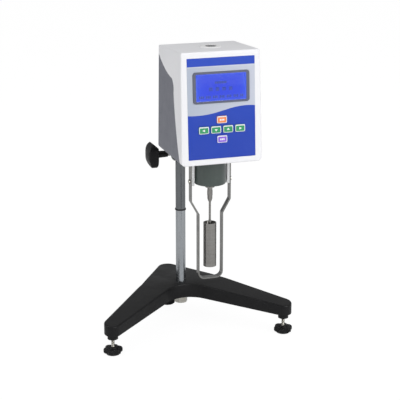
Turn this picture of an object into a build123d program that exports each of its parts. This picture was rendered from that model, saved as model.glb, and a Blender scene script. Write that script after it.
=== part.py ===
from build123d import *
import math
import os

# Rotational viscometer: a measuring head on a rack column, standing on a three-footed cast base.
# Millimetres. +Z is up, the display faces -Y, and the bench is z = 0.
# Heights are above the bench with the head where it stands at rest.

# Sizes of the stand
base_top = 67.0            # top of the casting at the column
base_under = 44.0          # underside of the casting at the column
leg_top_slope = 0.18       # fall of a leg's top for each millimetre forward
leg_under_slope = 0.12     # fall of a leg's underside for each millimetre forward
rear_slope = 0.04          # fall of the rear lobe's top for each millimetre back
foot_x = 134.8             # front feet, sideways from the column
foot_forward = 96.2        # front feet, ahead of the column
rear_foot_back = 75.0      # rear foot, behind the column
leg_tip_radius = 12.5
leg_root_radius = 25.2
leg_root_x = 11.7
leg_root_back = 22.2
lobe_tip_radius = 15.0
shoulder_x = 62.5          # where a leg's outer edge meets the rear lobe's
shoulder_back = 3.0
shoulder_blend = 60.0
crotch_radius = 46.0       # rounding between the two front legs
base_edge_round = 2.7
base_blend = 14.0          # half length of the bend between the legs' slope and the lobe's
boss_radius = 7.9
boss_bottom = 24.0
tap_relief = 1.0           # extra depth of a tapped hole

# Sizes of the levelling feet
pad_radius = 10.0
pad_height = 2.0
foot_knob_radius = 14.4
foot_knob_height = 8.5
foot_lobes = 6
foot_knob_round = 0.9
foot_groove = 1.2          # ring groove in the knob's top
stud_radius = 2.5
stud_engaged = 12.0        # length of stud inside its boss at rest
foot_travel_in = 12.0
foot_gap = 0.3             # running gap between a rubber pad and its knob

# Sizes of the column and its fastening
column_radius = 7.55
ring_height = 183.0        # middle of the dark stop ring
ring_thickness = 2.0
ring_radius = 8.5
column_top = 400.0
column_seat_depth = 10.0   # how far the rod sits in the casting
column_thread_radius = 6.0
rod_stud_radius = 4.0
rod_stud_length = 18.0
cap_radius = 9.2
cap_height = 7.0
washer_radius = 12.0
washer_thickness = 2.5
nut_across_flats = 18.0
nut_height = 10.2
nut_bevel = 1.2
thread_end = 0.8           # thread showing beyond the nut

# Sizes of the rack drive
gear_module = 1.0
pinion_teeth = 16
pressure_angle = 20.0
rack_flat = 5.4            # distance of the tooth tips from the column axis
rack_bottom = 185.5
pinion_axis_z = 269.0
pinion_width = 9.0
pinion_shaft_radius = 3.5
backlash = 0.12            # taken off each flank
lift_knob_inner_x = 33.4   # inner face of the lift knob from the column
lift_knob_thickness = 15.4
lift_knob_length = 41.0
lift_knob_width = 27.0
lift_knob_round = 4.0
lift_knob_bulge = 34.0     # radius of the outer face, seen from the front
lift_knob_flat = 5.0       # what the inner slope leaves of the top's thickness
lift_knob_slope = 9.0      # height of the inner slope
lift_hub_root = 5.6
lift_hub_tip = 4.8
lift_hub_length = 16.4

# Sizes of the carriage
spindle_reach = 142.8      # column axis to spindle axis
sleeve_bottom = 264.8
sleeve_top = 322.0
sleeve_radius = 13.5
bush_radius = 10.0
bush_length = 13.0
arm_bottom = 298.0
arm_width = 28.0
ring_block_radius = 27.4
gearbox_radius = 11.6
gearbox_half_width = 9.0
gearbox_bevel = 2.4
web_half_width = 7.8
collar_radius = 6.5
collar_width = 3.5
tension_screw_radius = 3.0
tension_tip_radius = 2.2
tension_tip_length = 2.0
socket_radius = 1.7
socket_depth = 4.0

# Sizes of the cup under the head and the spindle guard
cup_radius = 22.6
cup_bottom = 264.0
cup_wall = 4.0
cup_flange_height = 1.7
ear_bottom = 262.3
ear_inner = 24.4
ear_thickness = 3.6
ear_half_width = 4.5
guard_thickness = 2.0
guard_half_width = 4.4
guard_lower_half = 17.7    # middle of the strip from the spindle axis, low down
guard_bend_top = 239.0
guard_bend_bottom = 219.0
guard_bottom = 121.0
guard_top = 300.0
guard_corner_radius = 9.0
guard_screw_radius = 1.6
guard_screw_head = 3.0
guard_screw_height = 268.0
guard_screw_head_height = 1.6
guard_bend_radius = 4.0
cup_edge_round = 1.2
cup_mouth_gap = 1.2        # round the coupling in the cup's bottom

# Sizes of the spindle
spindle_radius = 9.42
spindle_length = 65.1
spindle_bottom = 139.8
spindle_rod_radius = 1.6
spindle_dish = 2.6
spindle_rim = 1.3
spindle_cone_radius = 2.7
spindle_cone_height = 8.0
coupling_radius = 3.65
coupling_tip = 2.1
coupling_bottom = 236.2
coupling_top = 259.3
coupling_taper = 4.5
splash_radius = 6.8
splash_thickness = 1.5
rod_engaged = 8.0          # rod inside the coupling
shaft_engaged = 11.1       # measuring shaft inside the coupling
coupling_into_cup = 6.0
main_shaft_radius = 2.0

# Sizes of the head
head_bottom = 305.0
head_height = 154.6        # at the front face
head_front = 54.2          # spindle axis to the lower front edge
head_back = 60.8           # spindle axis to the rear face
head_half_bottom = 58.5
head_half_top = 56.3
front_lean = 3.6           # degrees, the display leans back
top_slope = 3.1            # degrees, the top falls to the rear
head_round = 2.0           # along the edges of the head
head_lower_round = 6.0     # along the two lower side edges
cover_wall = 2.5
parting_gap = 0.3
parting_rear_drop = 16.0   # where the parting line leaves the rear, below the top
parting_sweep = ((27.0, 34.0), (-5.0, 41.2))    # behind the spindle, below the top
parting_turn = ((-11.4, 47.0), (-13.6, 60.0))   # behind the spindle, below the top
parting_drop = ((-25.4, 50.0), (-47.5, -2.0))   # behind the spindle, above the bottom
beyond = 20.0              # how far a large cutting shape runs past what it cuts
cut_past = 3.0             # the same for a small one
floor_gap = 0.3
plate_back_gap = 1.0
arm_way_step = 8.0         # where the way for the arm rises, from the rear wall
plate_front_gap = 5.0
floor_thickness = 4.0
plate_thickness = 3.0
fit = 0.05                 # radial clearance of a running fit
clear = 0.3                # clearance between loose neighbours

# Sizes of the front panel, up the leaning face from its lower edge
panel_half_width = 48.2
panel_low = 8.4
panel_high = 146.6
panel_corner = 0.6
panel_thickness = 0.6
bezel_width = 80.6
bezel_height = 42.6
bezel_middle = 106.2
bezel_corner = 4.0
bezel_proud = 0.7
bezel_depth = 1.6
screen_width = 72.0
screen_height = 37.0
window_thickness = 1.2
window_sunk = 0.2
key_width = 14.2
key_height = 9.8
key_corner = 1.6
key_proud = 1.3
key_flange = 1.0
key_flange_thickness = 0.8
key_travel = 0.5
key_pitch = 17.3
key_row_gap = 13.4
key_row_middle = 48.5
dome_thickness = 1.5
dome_radius = 3.0
board_thickness = 1.6
board_edge = 3.0           # board beyond what it carries
board_corner = 2.0
screen_corner = 1.0
key_edge_round = 0.5
screen_block_depth = 5.0

# Sizes of the works inside the head
post_radius = 3.5
post_inset = 9.0
rear_post_inset = 12.0
plate_edge = 5.0           # plate beyond the middle of a post
upper_plate_z = 392.0
motor_radius = 22.0
motor_offset = 11.0        # middle of the can behind its output shaft
motor_shaft_radius = 1.5
motor_height = 22.0
drive_module = 0.8
motor_teeth = 12
drive_teeth = 44
drive_gear_width = 5.0
drive_gear_drop = 4.0      # gap between the upper plate and the drive gear
drive_shaft_radius = 4.0
bearing_radius = 7.0
bearing_flange = 1.5
disc_radius = 21.0
disc_thickness = 0.8
disc_slots = 12
upper_disc_drop = 14.0     # upper disc below the drive gear
lower_disc_drop = 12.0     # lower disc below the upper one
spring_turns = 3
spring_inner = 5.0
spring_pitch = 1.6
spring_width = 2.0
spring_strip = 0.4
spring_lift = 2.5          # spring above the lower disc's face
stud_pin_radius = 1.1
slot_length = 3.0
slot_width = 1.6
slot_inset = 3.0
disc_hub_height = 2.0
collet_height = 6.0
collet_radius = 4.6
sensor_width = 12.0
sensor_depth = 14.0
sensor_height = 12.0
sensor_slot = 3.0
sensor_bite = 6.0
bracket_thickness = 2.0
bracket_foot = 8.0
pivot_plate_z = 281.0
pivot_plate_thickness = 4.0
pivot_radius = 6.0
pivot_lip = 1.0            # bearing proud of its plate on each side
board_inset = 6.0          # main board from the cover's inner face
board_front_inset = 34.0
board_rear_inset = 28.0
board_height = 62.0
chip_size = 18.0
chip_height = 5.0
capacitor_radius = 3.0
capacitor_height = 5.5
capacitor_spread = 18.0
rail_height = 6.0
rail_lip = 2.5
rail_floor = 1.0

# Sizes of the level and of the rear connections
vial_x = 3.0               # the level sits a little right of the middle
vial_back = 7.0            # behind the spindle axis
vial_ring_radius = 14.8
vial_ring_thickness = 2.6
vial_body_radius = 10.5
vial_depth = 11.0
vial_glass_radius = 8.0
vial_glass_wall = 1.0
vial_bubble_radius = 2.6
switch_width = 15.0
switch_height = 21.0
switch_depth = 14.0
switch_flange = 1.5
rocker_gap = 0.35
rocker_pivot = 3.0         # pin behind the rear face
rocker_pin_radius = 1.0
rocker_depth = 3.0
rocker_shoulder = 3.2
rocker_proud = 6.6
rocker_middle = 4.4
switch_wall = 1.5
switch_floor = 3.0
rear_row_z = 338.0
rear_spread = 32.0
inlet_radius = 5.5
inlet_bore = 3.2
inlet_depth = 12.0
inlet_rim = 2.0
inlet_rim_height = 1.6
inlet_floor = 2.0
inlet_pin_radius = 1.0
port_width = 17.0
port_height = 8.5
port_flange_width = 31.0
port_flange_height = 12.6
port_depth = 11.0
port_proud = 5.0
port_wall = 0.8
port_flange = 1.2
port_pin_radius = 0.5
port_pin_pitch = 2.75
port_row_half = 1.4
screw_radius = 1.5
screw_head_radius = 2.8
screw_length = 10.0
screw_sink = 1.6
screw_slot = 0.8
screw_slot_depth = 0.7
screw_side_inset = 16.0
screw_low_inset = 14.0
screw_high_inset = 34.0
cover_boss_radius = 4.0
cover_boss_depth = 8.5
board_boss_radius = 3.0
boss_bite = 0.5            # root of a boss inside its wall

# Places that follow from the sizes
column_y = (spindle_reach + head_front - rear_foot_back - lobe_tip_radius) / 2
spindle_y = column_y - spindle_reach
head_rear_y = spindle_y + head_back
head_front_y = spindle_y - head_front
head_top_front = head_bottom + head_height
lean = math.radians(front_lean)
panel_middle = (panel_low + panel_high) / 2
pinion_pitch_radius = gear_module * pinion_teeth / 2
pinion_y = column_y + rack_flat - gear_module + pinion_pitch_radius
floor_bottom = head_bottom + cover_wall + floor_gap
floor_top = floor_bottom + floor_thickness
upper_plate_top = upper_plate_z + plate_thickness
drive_gear_top = upper_plate_z - drive_gear_drop
drive_gear_bottom = drive_gear_top - drive_gear_width
upper_disc_z = drive_gear_bottom - upper_disc_drop
lower_disc_z = upper_disc_z - lower_disc_drop
motor_y = spindle_y + drive_module * (motor_teeth + drive_teeth) / 2
motor_can_y = motor_y + motor_offset
guard_upper_half = ear_inner + ear_thickness + guard_thickness / 2
vial_y = spindle_y + vial_back
tension_z = (sleeve_bottom + bush_length + sleeve_top) / 2
foot_places = {
    "left": (-foot_x, column_y - foot_forward),
    "right": (foot_x, column_y - foot_forward),
    "rear": (0.0, column_y + rear_foot_back),
}
key_places = {
    "key_run": (0.0, key_row_middle + key_row_gap),
    "key_left": (-1.5 * key_pitch, key_row_middle),
    "key_down": (-0.5 * key_pitch, key_row_middle),
    "key_up": (0.5 * key_pitch, key_row_middle),
    "key_right": (1.5 * key_pitch, key_row_middle),
    "key_back": (0.0, key_row_middle - key_row_gap),
}
face_plane = Plane(
    origin=(0, head_front_y, head_bottom),
    x_dir=(1, 0, 0),
    z_dir=(0, -math.cos(lean), math.sin(lean)),
)


def upright(radius, bottom, top, x=0.0, y=0.0):
    """Cylinder standing between two heights."""
    shape = Cylinder(radius, top - bottom, align=(Align.CENTER, Align.CENTER, Align.MIN))
    return Pos(x, y, bottom) * shape


def tube(outer, inner, bottom, top, x=0.0, y=0.0):
    """Upright ring between two heights."""
    return upright(outer, bottom, top, x, y) - upright(inner, bottom, top, x, y)


def crosswise(radius, start, end, y, z):
    """Cylinder along X between two places."""
    shape = Cylinder(radius, end - start, align=(Align.CENTER, Align.CENTER, Align.MIN))
    return Pos(start, y, z) * Rot(0, 90, 0) * shape


def lengthwise(radius, start, end, x, z):
    """Cylinder along Y between two places."""
    shape = Cylinder(radius, end - start, align=(Align.CENTER, Align.CENTER, Align.MIN))
    return Pos(x, start, z) * Rot(-90, 0, 0) * shape


def block(x_span, y_span, z_span):
    """Box between two corners, given as a span along each axis."""
    shape = Box(
        x_span[1] - x_span[0],
        y_span[1] - y_span[0],
        z_span[1] - z_span[0],
        align=(Align.MIN, Align.MIN, Align.MIN),
    )
    return Pos(x_span[0], y_span[0], z_span[0]) * shape


def span(first, second):
    """Two places in rising order."""
    return (min(first, second), max(first, second))


def face_block(x, up, width, height, outer, inner, corner=0.0):
    """Rounded slab on the leaning front face; outer and inner are depths behind the face."""
    outline = Rectangle(width, height) if corner == 0 else RectangleRounded(width, height, corner)
    sketch = face_plane * Pos(x, up, -inner) * outline
    return extrude(sketch, amount=inner - outer, dir=face_plane.z_dir)


def face_pin(x, up, radius, outer, inner):
    """Round pin square to the leaning front face."""
    sketch = face_plane * Pos(x, up, -inner) * Circle(radius)
    return extrude(sketch, amount=inner - outer, dir=face_plane.z_dir)


def involute_point(base_radius, radius, offset):
    """Point on an involute flank at a radius, turned by an offset angle."""
    roll = math.sqrt(max((radius / base_radius) ** 2 - 1, 0.0))
    angle = offset + roll - math.atan(roll)
    return (radius * math.cos(angle), radius * math.sin(angle))


def gear_outline(module, teeth, play):
    """Spur gear face with involute flanks; one tooth points along +X."""
    pitch = module * teeth / 2
    tip = pitch + module
    root = pitch - 1.25 * module
    base = pitch * math.cos(math.radians(pressure_angle))
    start = max(base, root)
    pitch_roll = math.tan(math.radians(pressure_angle))
    half_tooth = math.pi / (2 * teeth) - play / pitch
    offset = -(half_tooth + pitch_roll - math.atan(pitch_roll))
    flank_steps = 3
    points = []
    for tooth in range(teeth):
        turn = 2 * math.pi * tooth / teeth
        flank = [
            involute_point(base, start + (tip - start) * step / flank_steps, offset)
            for step in range(flank_steps + 1)
        ]
        first_angle = math.atan2(flank[0][1], flank[0][0])
        lower = [(root * math.cos(first_angle), root * math.sin(first_angle))]
        if start > root:
            lower = lower + flank
        else:
            lower = flank
        upper = [(x, -y) for x, y in reversed(lower)]
        for x, y in lower + upper:
            points.append((
                x * math.cos(turn) - y * math.sin(turn),
                x * math.sin(turn) + y * math.cos(turn),
            ))
    return make_face(Polyline(*points, close=True))


def star_outline(radius, lobes):
    """Lobed hand knob outline with a lobe on +X."""
    lobe_radius = radius * 0.27
    shape = Circle(radius - lobe_radius)
    for place in PolarLocations(radius - lobe_radius, lobes):
        shape = shape + place * Circle(lobe_radius)
    return shape


# Stand

def outer_tangent(start, start_radius, end, end_radius):
    """Left-hand normal of the line that touches two circles on the left of the way between them."""
    dx = end[0] - start[0]
    dy = end[1] - start[1]
    length = math.hypot(dx, dy)
    along = (start_radius - end_radius) / length
    across = math.sqrt(1 - along ** 2)
    return (
        (along * dx - across * dy) / length,
        (along * dy + across * dx) / length,
    )


def on_circle(centre, radius, normal):
    """Point of a circle in the direction of a normal."""
    return (centre[0] + radius * normal[0], centre[1] + radius * normal[1])


def between(first, second):
    """Unit direction halfway between two directions."""
    x = first[0] + second[0]
    y = first[1] + second[1]
    return (x / math.hypot(x, y), y / math.hypot(x, y))


def base_plan():
    """Plan of the casting: two front legs and a rear lobe, seen from above."""
    lobe = (0.0, rear_foot_back)
    shoulder = (shoulder_x, shoulder_back)
    tip = (foot_x, -foot_forward)
    root = (leg_root_x, leg_root_back)
    rear_normal = outer_tangent(lobe, lobe_tip_radius, shoulder, 0)
    leg_normal = outer_tangent(shoulder, 0, tip, leg_tip_radius)
    inner_normal = outer_tangent(tip, leg_tip_radius, root, leg_root_radius)
    inner_point = on_circle(tip, leg_tip_radius, inner_normal)
    reach = inner_point[0] * inner_normal[0] + inner_point[1] * inner_normal[1]
    crotch = (0.0, (crotch_radius + reach) / inner_normal[1])
    with BuildSketch() as plan:
        with BuildLine():
            ThreePointArc(
                (0, rear_foot_back + lobe_tip_radius),
                on_circle(lobe, lobe_tip_radius, between((0, 1), rear_normal)),
                on_circle(lobe, lobe_tip_radius, rear_normal),
            )
            Line(on_circle(lobe, lobe_tip_radius, rear_normal), shoulder)
            Line(shoulder, on_circle(tip, leg_tip_radius, leg_normal))
            ThreePointArc(
                on_circle(tip, leg_tip_radius, leg_normal),
                on_circle(tip, leg_tip_radius, between(leg_normal, inner_normal)),
                inner_point,
            )
            Line(inner_point, on_circle(crotch, -crotch_radius, inner_normal))
            ThreePointArc(
                on_circle(crotch, -crotch_radius, inner_normal),
                on_circle(crotch, -crotch_radius, between(inner_normal, (0, -1))),
                on_circle(crotch, -crotch_radius, (0, -1)),
            )
            mirror(about=Plane.YZ)
        make_face()
    shoulders = [v for v in plan.sketch.vertices() if abs(abs(v.X) - shoulder_x) < 0.01]
    return fillet(shoulders, shoulder_blend)


def base_casting():
    """Heavy cast base with three bosses and the column seat."""
    reach_front = foot_forward + leg_tip_radius + 5
    reach_back = rear_foot_back + lobe_tip_radius + 5
    with BuildSketch(Plane.YZ) as profile:
        with BuildLine():
            front = Line(
                (-reach_front, base_top - leg_top_slope * reach_front),
                (-base_blend, base_top - leg_top_slope * base_blend),
            )
            bend_end = (base_blend, base_top - rear_slope * base_blend)
            top = TangentArc(front @ 1, bend_end, tangent=front % 1)
            rear_top = (reach_back, base_top - rear_slope * reach_back)
            Polyline(
                top @ 1,
                rear_top,
                (reach_back, base_under),
                (0, base_under),
                (-reach_front, base_under - leg_under_slope * reach_front),
                front @ 0,
            )
        make_face()
    wide = foot_x + leg_tip_radius + 5
    side_view = extrude(profile.sketch, amount=wide, both=True)
    column = extrude(base_plan(), amount=base_top + 20)
    body = column & side_view
    tops = body.faces().filter_by(lambda f: f.normal_at().Z > 0.9)
    rim = [
        edge for edge in tops.edges()
        if sum(1 for other in tops.edges() if (other.center() - edge.center()).length < 0.01) == 1
    ]
    body = fillet(rim, base_edge_round)
    body = Pos(0, column_y, 0) * body
    for x, y in foot_places.values():
        body = body + upright(boss_radius, boss_bottom, base_under, x, y)
        blind = boss_bottom + stud_engaged + foot_travel_in + tap_relief
        body = body - upright(stud_radius + fit, boss_bottom, blind, x, y)
    seat = base_top - column_seat_depth
    body = body - upright(column_radius + fit, seat, base_top + column_radius, 0, column_y)
    body = body - upright(column_thread_radius + fit, 0, base_top, 0, column_y)
    return body - upright(washer_radius + clear, 0, base_under, 0, column_y)


def foot_pad(x, y):
    """Rubber disc with the steel pin on which its knob turns."""
    pin = upright(stud_radius, pad_height, pad_height + foot_knob_height / 2, x, y)
    disc = upright(pad_radius, 0, pad_height, x, y)
    return disc + pin


def foot_knob(x, y):
    """Lobed hand knob and the threaded stud pressed into it."""
    bottom = pad_height + foot_gap
    star = extrude(star_outline(foot_knob_radius, foot_lobes), amount=foot_knob_height)
    star = fillet(star.edges().filter_by(GeomType.CIRCLE), foot_knob_round)
    hub = foot_knob_radius * 0.5
    star = star - tube(hub + foot_groove, hub, foot_knob_height - foot_knob_round, foot_knob_height)
    star = Pos(x, y, bottom) * star
    stud_seat = bottom + foot_knob_height / 2
    star = star - upright(stud_radius + fit, bottom, stud_seat, x, y)
    star = star - upright(stud_radius, stud_seat, bottom + foot_knob_height, x, y)
    return [star, upright(stud_radius, stud_seat, boss_bottom + stud_engaged, x, y)]


def rack_teeth(bottom, top):
    """Cutter for the rack: the flat behind the teeth and the spaces between them."""
    pitch = math.pi * gear_module
    slope = math.tan(math.radians(pressure_angle))
    tips = column_y + rack_flat
    roots = tips - 2.25 * gear_module
    half_space = pitch / 4 + backlash
    wide_half = half_space + gear_module * slope
    narrow_half = half_space - 1.25 * gear_module * slope
    below = math.floor((pinion_axis_z - bottom - pitch) / pitch)
    above = math.floor((top - pinion_axis_z - pitch) / pitch)
    points = [(column_y + 2 * column_radius, bottom), (tips, bottom)]
    for step in range(-below, above + 1):
        middle = pinion_axis_z + step * pitch
        points.append((tips, middle - wide_half))
        points.append((roots, middle - narrow_half))
        points.append((roots, middle + narrow_half))
        points.append((tips, middle + wide_half))
    points.append((tips, top))
    points.append((column_y + 2 * column_radius, top))
    outline = make_face(Plane.YZ * Polyline(*points, close=True))
    return extrude(outline, amount=2 * column_radius, both=True)


def column_lower():
    """Lower rod with the threaded end that the nut holds."""
    seat = base_top - column_seat_depth
    bottom = base_under - washer_thickness - nut_height - thread_end
    top = ring_height - ring_thickness / 2
    rod = upright(column_radius, seat, top, 0, column_y)
    rod = rod + upright(column_thread_radius, bottom, seat, 0, column_y)
    return rod - upright(rod_stud_radius + fit, top - rod_stud_length - 1, top, 0, column_y)


def column_upper():
    """Upper rod with the rack cut into its rear."""
    bottom = ring_height + ring_thickness / 2
    rod = upright(column_radius, bottom, column_top, 0, column_y)
    rod = rod - rack_teeth(rack_bottom, column_top - cap_height)
    stud_bottom = ring_height - ring_thickness / 2 - rod_stud_length
    rod = rod + upright(rod_stud_radius, stud_bottom, bottom, 0, column_y)
    return rod - upright(rod_stud_radius + fit, column_top - cap_height, column_top, 0, column_y)


def column_ring():
    """Dark stop ring between the two rods."""
    half = ring_thickness / 2
    return tube(ring_radius, rod_stud_radius + fit, ring_height - half, ring_height + half, 0, column_y)


def column_cap():
    """Stop cap pressed into the top of the column."""
    cap = upright(cap_radius, column_top, column_top + cap_height, 0, column_y)
    cap = fillet(cap.edges().sort_by(Axis.Z)[-1], 1.5)
    return cap + upright(rod_stud_radius, column_top - cap_height + 1, column_top, 0, column_y)


def column_nut():
    """Hexagon nut and washer that pull the column into its seat."""
    top = base_under - washer_thickness
    bottom = top - nut_height
    bore = column_thread_radius + fit
    corner_radius = nut_across_flats / math.sqrt(3)
    nut = extrude(Pos(0, column_y, bottom) * RegularPolygon(corner_radius, 6), amount=nut_height)
    nut = nut & (Pos(0, column_y, bottom) * Cone(
        corner_radius - nut_bevel,
        corner_radius + 2 * nut_height,
        nut_height + nut_bevel,
        align=(Align.CENTER, Align.CENTER, Align.MIN),
    ))
    washer = tube(washer_radius, bore, top, base_under, 0, column_y)
    return [nut - upright(bore, bottom, top, 0, column_y), washer]


# Carriage

def carriage_arm():
    """Sleeve on the column, gear housing, and the arm that carries the head."""
    body = upright(sleeve_radius, sleeve_bottom, sleeve_top, 0, column_y)
    housing = crosswise(gearbox_radius, -gearbox_half_width, gearbox_half_width, pinion_y, pinion_axis_z)
    body = body + chamfer(housing.edges().filter_by(GeomType.CIRCLE), gearbox_bevel)
    body = body + block(
        (-gearbox_half_width, gearbox_half_width),
        (column_y, pinion_y + gearbox_radius),
        (pinion_axis_z, sleeve_top - bush_length),
    )
    half = arm_width / 2
    body = body + block((-half, half), (spindle_y, column_y), (arm_bottom, floor_bottom))
    body = body + upright(ring_block_radius, arm_bottom, floor_bottom, 0, spindle_y)
    web = make_face(Plane.YZ * Polyline(
        (column_y - sleeve_radius / 2, sleeve_bottom + 2),
        (head_rear_y + 4, arm_bottom),
        (column_y - sleeve_radius / 2, arm_bottom),
        close=True,
    ))
    body = body + extrude(web, amount=web_half_width, both=True, dir=(1, 0, 0))
    body = body - upright(bush_radius, pinion_axis_z - 2 * gearbox_radius, sleeve_top + clear, 0, column_y)
    inner = tube(
        bush_radius,
        (bush_radius + column_radius) / 2,
        sleeve_bottom + bush_length,
        sleeve_top - bush_length,
        0,
        column_y,
    )
    front_half = block((-bush_radius, bush_radius), (column_y - bush_radius, column_y), (0, sleeve_top))
    body = body + (inner & front_half)
    window = pinion_width / 2 + clear
    tip = pinion_pitch_radius + gear_module + 2 * clear
    body = body - crosswise(tip, -window, window, pinion_y, pinion_axis_z)
    wide = 2 * gearbox_half_width
    body = body - crosswise(pinion_shaft_radius + fit, -wide, wide, pinion_y, pinion_axis_z)
    body = body - upright(cup_radius - cup_wall, cup_bottom, floor_top, 0, spindle_y)
    return body - tension_bore()


def tension_bore():
    """Threaded hole in the rear of the sleeve for the tension screw."""
    return lengthwise(tension_screw_radius + fit, column_y, column_y + 4 * sleeve_radius, 0, tension_z)


def tension_screw():
    """Set screw with a nylon tip that presses on the column."""
    tip = column_y + rack_flat + clear
    head = pinion_y + gearbox_radius - 1
    body = lengthwise(tension_screw_radius, tip + tension_tip_length, head, 0, tension_z)
    body = body + lengthwise(tension_tip_radius, tip, tip + tension_tip_length, 0, tension_z)
    hexagon = extrude(RegularPolygon(socket_radius, 6), amount=2 * socket_depth)
    return body - Pos(0, head - socket_depth, tension_z) * Rot(-90, 0, 0) * hexagon


def guide_bushes():
    """Two bronze bushes that run on the column, slotted for the rack side."""
    bushes = []
    for bottom in (sleeve_bottom, sleeve_top - bush_length):
        ring = tube(bush_radius, column_radius + fit, bottom, bottom + bush_length, 0, column_y)
        window = crosswise(
            pinion_pitch_radius + gear_module + 2 * clear,
            -pinion_width / 2 - clear,
            pinion_width / 2 + clear,
            pinion_y,
            pinion_axis_z,
        )
        bushes.append(ring - window - tension_bore())
    return bushes


def pinion_shaft():
    """Steel shaft with the rack pinion cut on it."""
    start = -lift_knob_inner_x - lift_knob_thickness / 2
    end = sleeve_radius + clear + collar_width
    shaft = crosswise(pinion_shaft_radius, start, end, pinion_y, pinion_axis_z)
    outline = Plane.YZ * Rot(0, 0, 180) * gear_outline(gear_module, pinion_teeth, backlash)
    face = Pos(-pinion_width / 2, pinion_y, pinion_axis_z) * outline
    pinion = extrude(face, amount=pinion_width, dir=(1, 0, 0))
    return shaft + pinion


def shaft_collar():
    """Snap collar that keeps the pinion shaft in its housing."""
    start = sleeve_radius + clear
    end = start + collar_width
    collar = crosswise(collar_radius, start, end, pinion_y, pinion_axis_z)
    return collar - crosswise(pinion_shaft_radius, start, end, pinion_y, pinion_axis_z)


def lift_knob():
    """Oblong hand knob with a hub that turns the pinion shaft."""
    start = -lift_knob_inner_x - lift_knob_thickness
    radius = lift_knob_width / 2
    gap = lift_knob_length - lift_knob_width
    outline = Plane.YZ * Rot(0, 0, 90) * SlotCenterToCenter(gap, 2 * radius)
    head = extrude(Pos(start, pinion_y, pinion_axis_z) * outline, amount=lift_knob_thickness, dir=(1, 0, 0))
    head = fillet(head.edges().group_by(Axis.X)[0], lift_knob_round)
    head = fillet(head.edges().group_by(Axis.X)[-1], lift_knob_round / 2)
    bulge = Cylinder(lift_knob_bulge, 2 * lift_knob_width)
    head = head & (Pos(start + lift_knob_bulge, pinion_y, pinion_axis_z) * Rot(90, 0, 0) * bulge)
    top = pinion_axis_z + lift_knob_length / 2
    wedge = make_face(Plane.XZ * Polyline(
        (start + lift_knob_flat, top + 1),
        (-lift_knob_inner_x + 1, top + 1),
        (-lift_knob_inner_x + 1, top - lift_knob_slope),
        (-lift_knob_inner_x, top - lift_knob_slope),
        (start + lift_knob_flat, top),
        close=True,
    ))
    wedge = extrude(wedge, amount=2 * lift_knob_width, both=True)
    head = head - Pos(0, pinion_y, 0) * wedge
    hub = Pos(-lift_knob_inner_x, pinion_y, pinion_axis_z) * Rot(0, 90, 0) * Cone(
        lift_hub_root,
        lift_hub_tip,
        lift_hub_length,
        align=(Align.CENTER, Align.CENTER, Align.MIN),
    )
    middle = -lift_knob_inner_x - lift_knob_thickness / 2
    return head + hub - crosswise(pinion_shaft_radius, middle, 0, pinion_y, pinion_axis_z)


# Cup, guard and spindle

def spindle_cup():
    """Green-grey housing under the head, with a flange under the arm's ring."""
    flange_bottom = arm_bottom - cup_flange_height
    cup = upright(cup_radius, cup_bottom, flange_bottom, 0, spindle_y)
    cup = fillet(cup.edges().sort_by(Axis.Z)[0], cup_edge_round)
    cup = cup + upright(ring_block_radius, flange_bottom, arm_bottom, 0, spindle_y)
    cup = cup - upright(cup_radius - cup_wall, cup_bottom + cup_wall, arm_bottom, 0, spindle_y)
    return cup - upright(coupling_radius + cup_mouth_gap, cup_bottom, cup_bottom + cup_wall, 0, spindle_y)


def guard_ears():
    """Two bright lugs that stand down from the flange beside the cup."""
    depth = (spindle_y - ear_half_width, spindle_y + ear_half_width)
    outer = ear_inner + ear_thickness
    ears = []
    for side in (-1, 1):
        wall = span(side * ear_inner, side * outer)
        ear = block(wall, depth, (ear_bottom, arm_bottom - cup_flange_height))
        ears.append(ear - crosswise(guard_screw_radius, *wall, spindle_y, guard_screw_height))
    return ears


def guard_half_outline(side_offset):
    """Points down one arm of the guard, offset outward from the strip's middle."""
    joggle = math.atan2(guard_upper_half - guard_lower_half, guard_bend_top - guard_bend_bottom)
    shift = side_offset * math.tan(joggle / 2)
    middle_bottom = guard_bottom + guard_thickness / 2
    return [
        (guard_upper_half + side_offset, guard_top),
        (guard_upper_half + side_offset, guard_bend_top - shift),
        (guard_lower_half + side_offset, guard_bend_bottom - shift),
        (guard_lower_half + side_offset, middle_bottom - side_offset),
    ]


def guard_face(side_offset):
    """Closed outline of the guard's outer or inner side."""
    half = guard_half_outline(side_offset)
    mirrored = [(-x, z) for x, z in reversed(half)]
    face = make_face(Plane.XZ * Polyline(*half, *mirrored, close=True))
    low = face.vertices().group_by(Axis.Z)[0]
    face = fillet(low, guard_corner_radius + side_offset)
    bends = face.vertices().filter_by(lambda v: guard_bend_bottom - 3 < v.Z < guard_bend_top + 3)
    return fillet(bends, guard_bend_radius)


def spindle_guard():
    """Flat stainless strip bent round the spindle."""
    half = guard_thickness / 2
    face = guard_face(half) - guard_face(-half)
    strip = Pos(0, spindle_y, 0) * extrude(face, amount=guard_half_width, both=True)
    wide = 2 * guard_upper_half
    return strip - crosswise(guard_screw_radius, -wide, wide, spindle_y, guard_screw_height)


def guard_screws():
    """Screws that hold the guard's arms to the ears."""
    screws = []
    outer = guard_upper_half + guard_thickness / 2
    for side in (-1, 1):
        stem = span(side * ear_inner, side * outer)
        head = span(side * outer, side * (outer + guard_screw_head_height))
        screws.append(
            crosswise(guard_screw_radius, *stem, spindle_y, guard_screw_height)
            + crosswise(guard_screw_head, *head, spindle_y, guard_screw_height)
        )
    return screws


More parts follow.
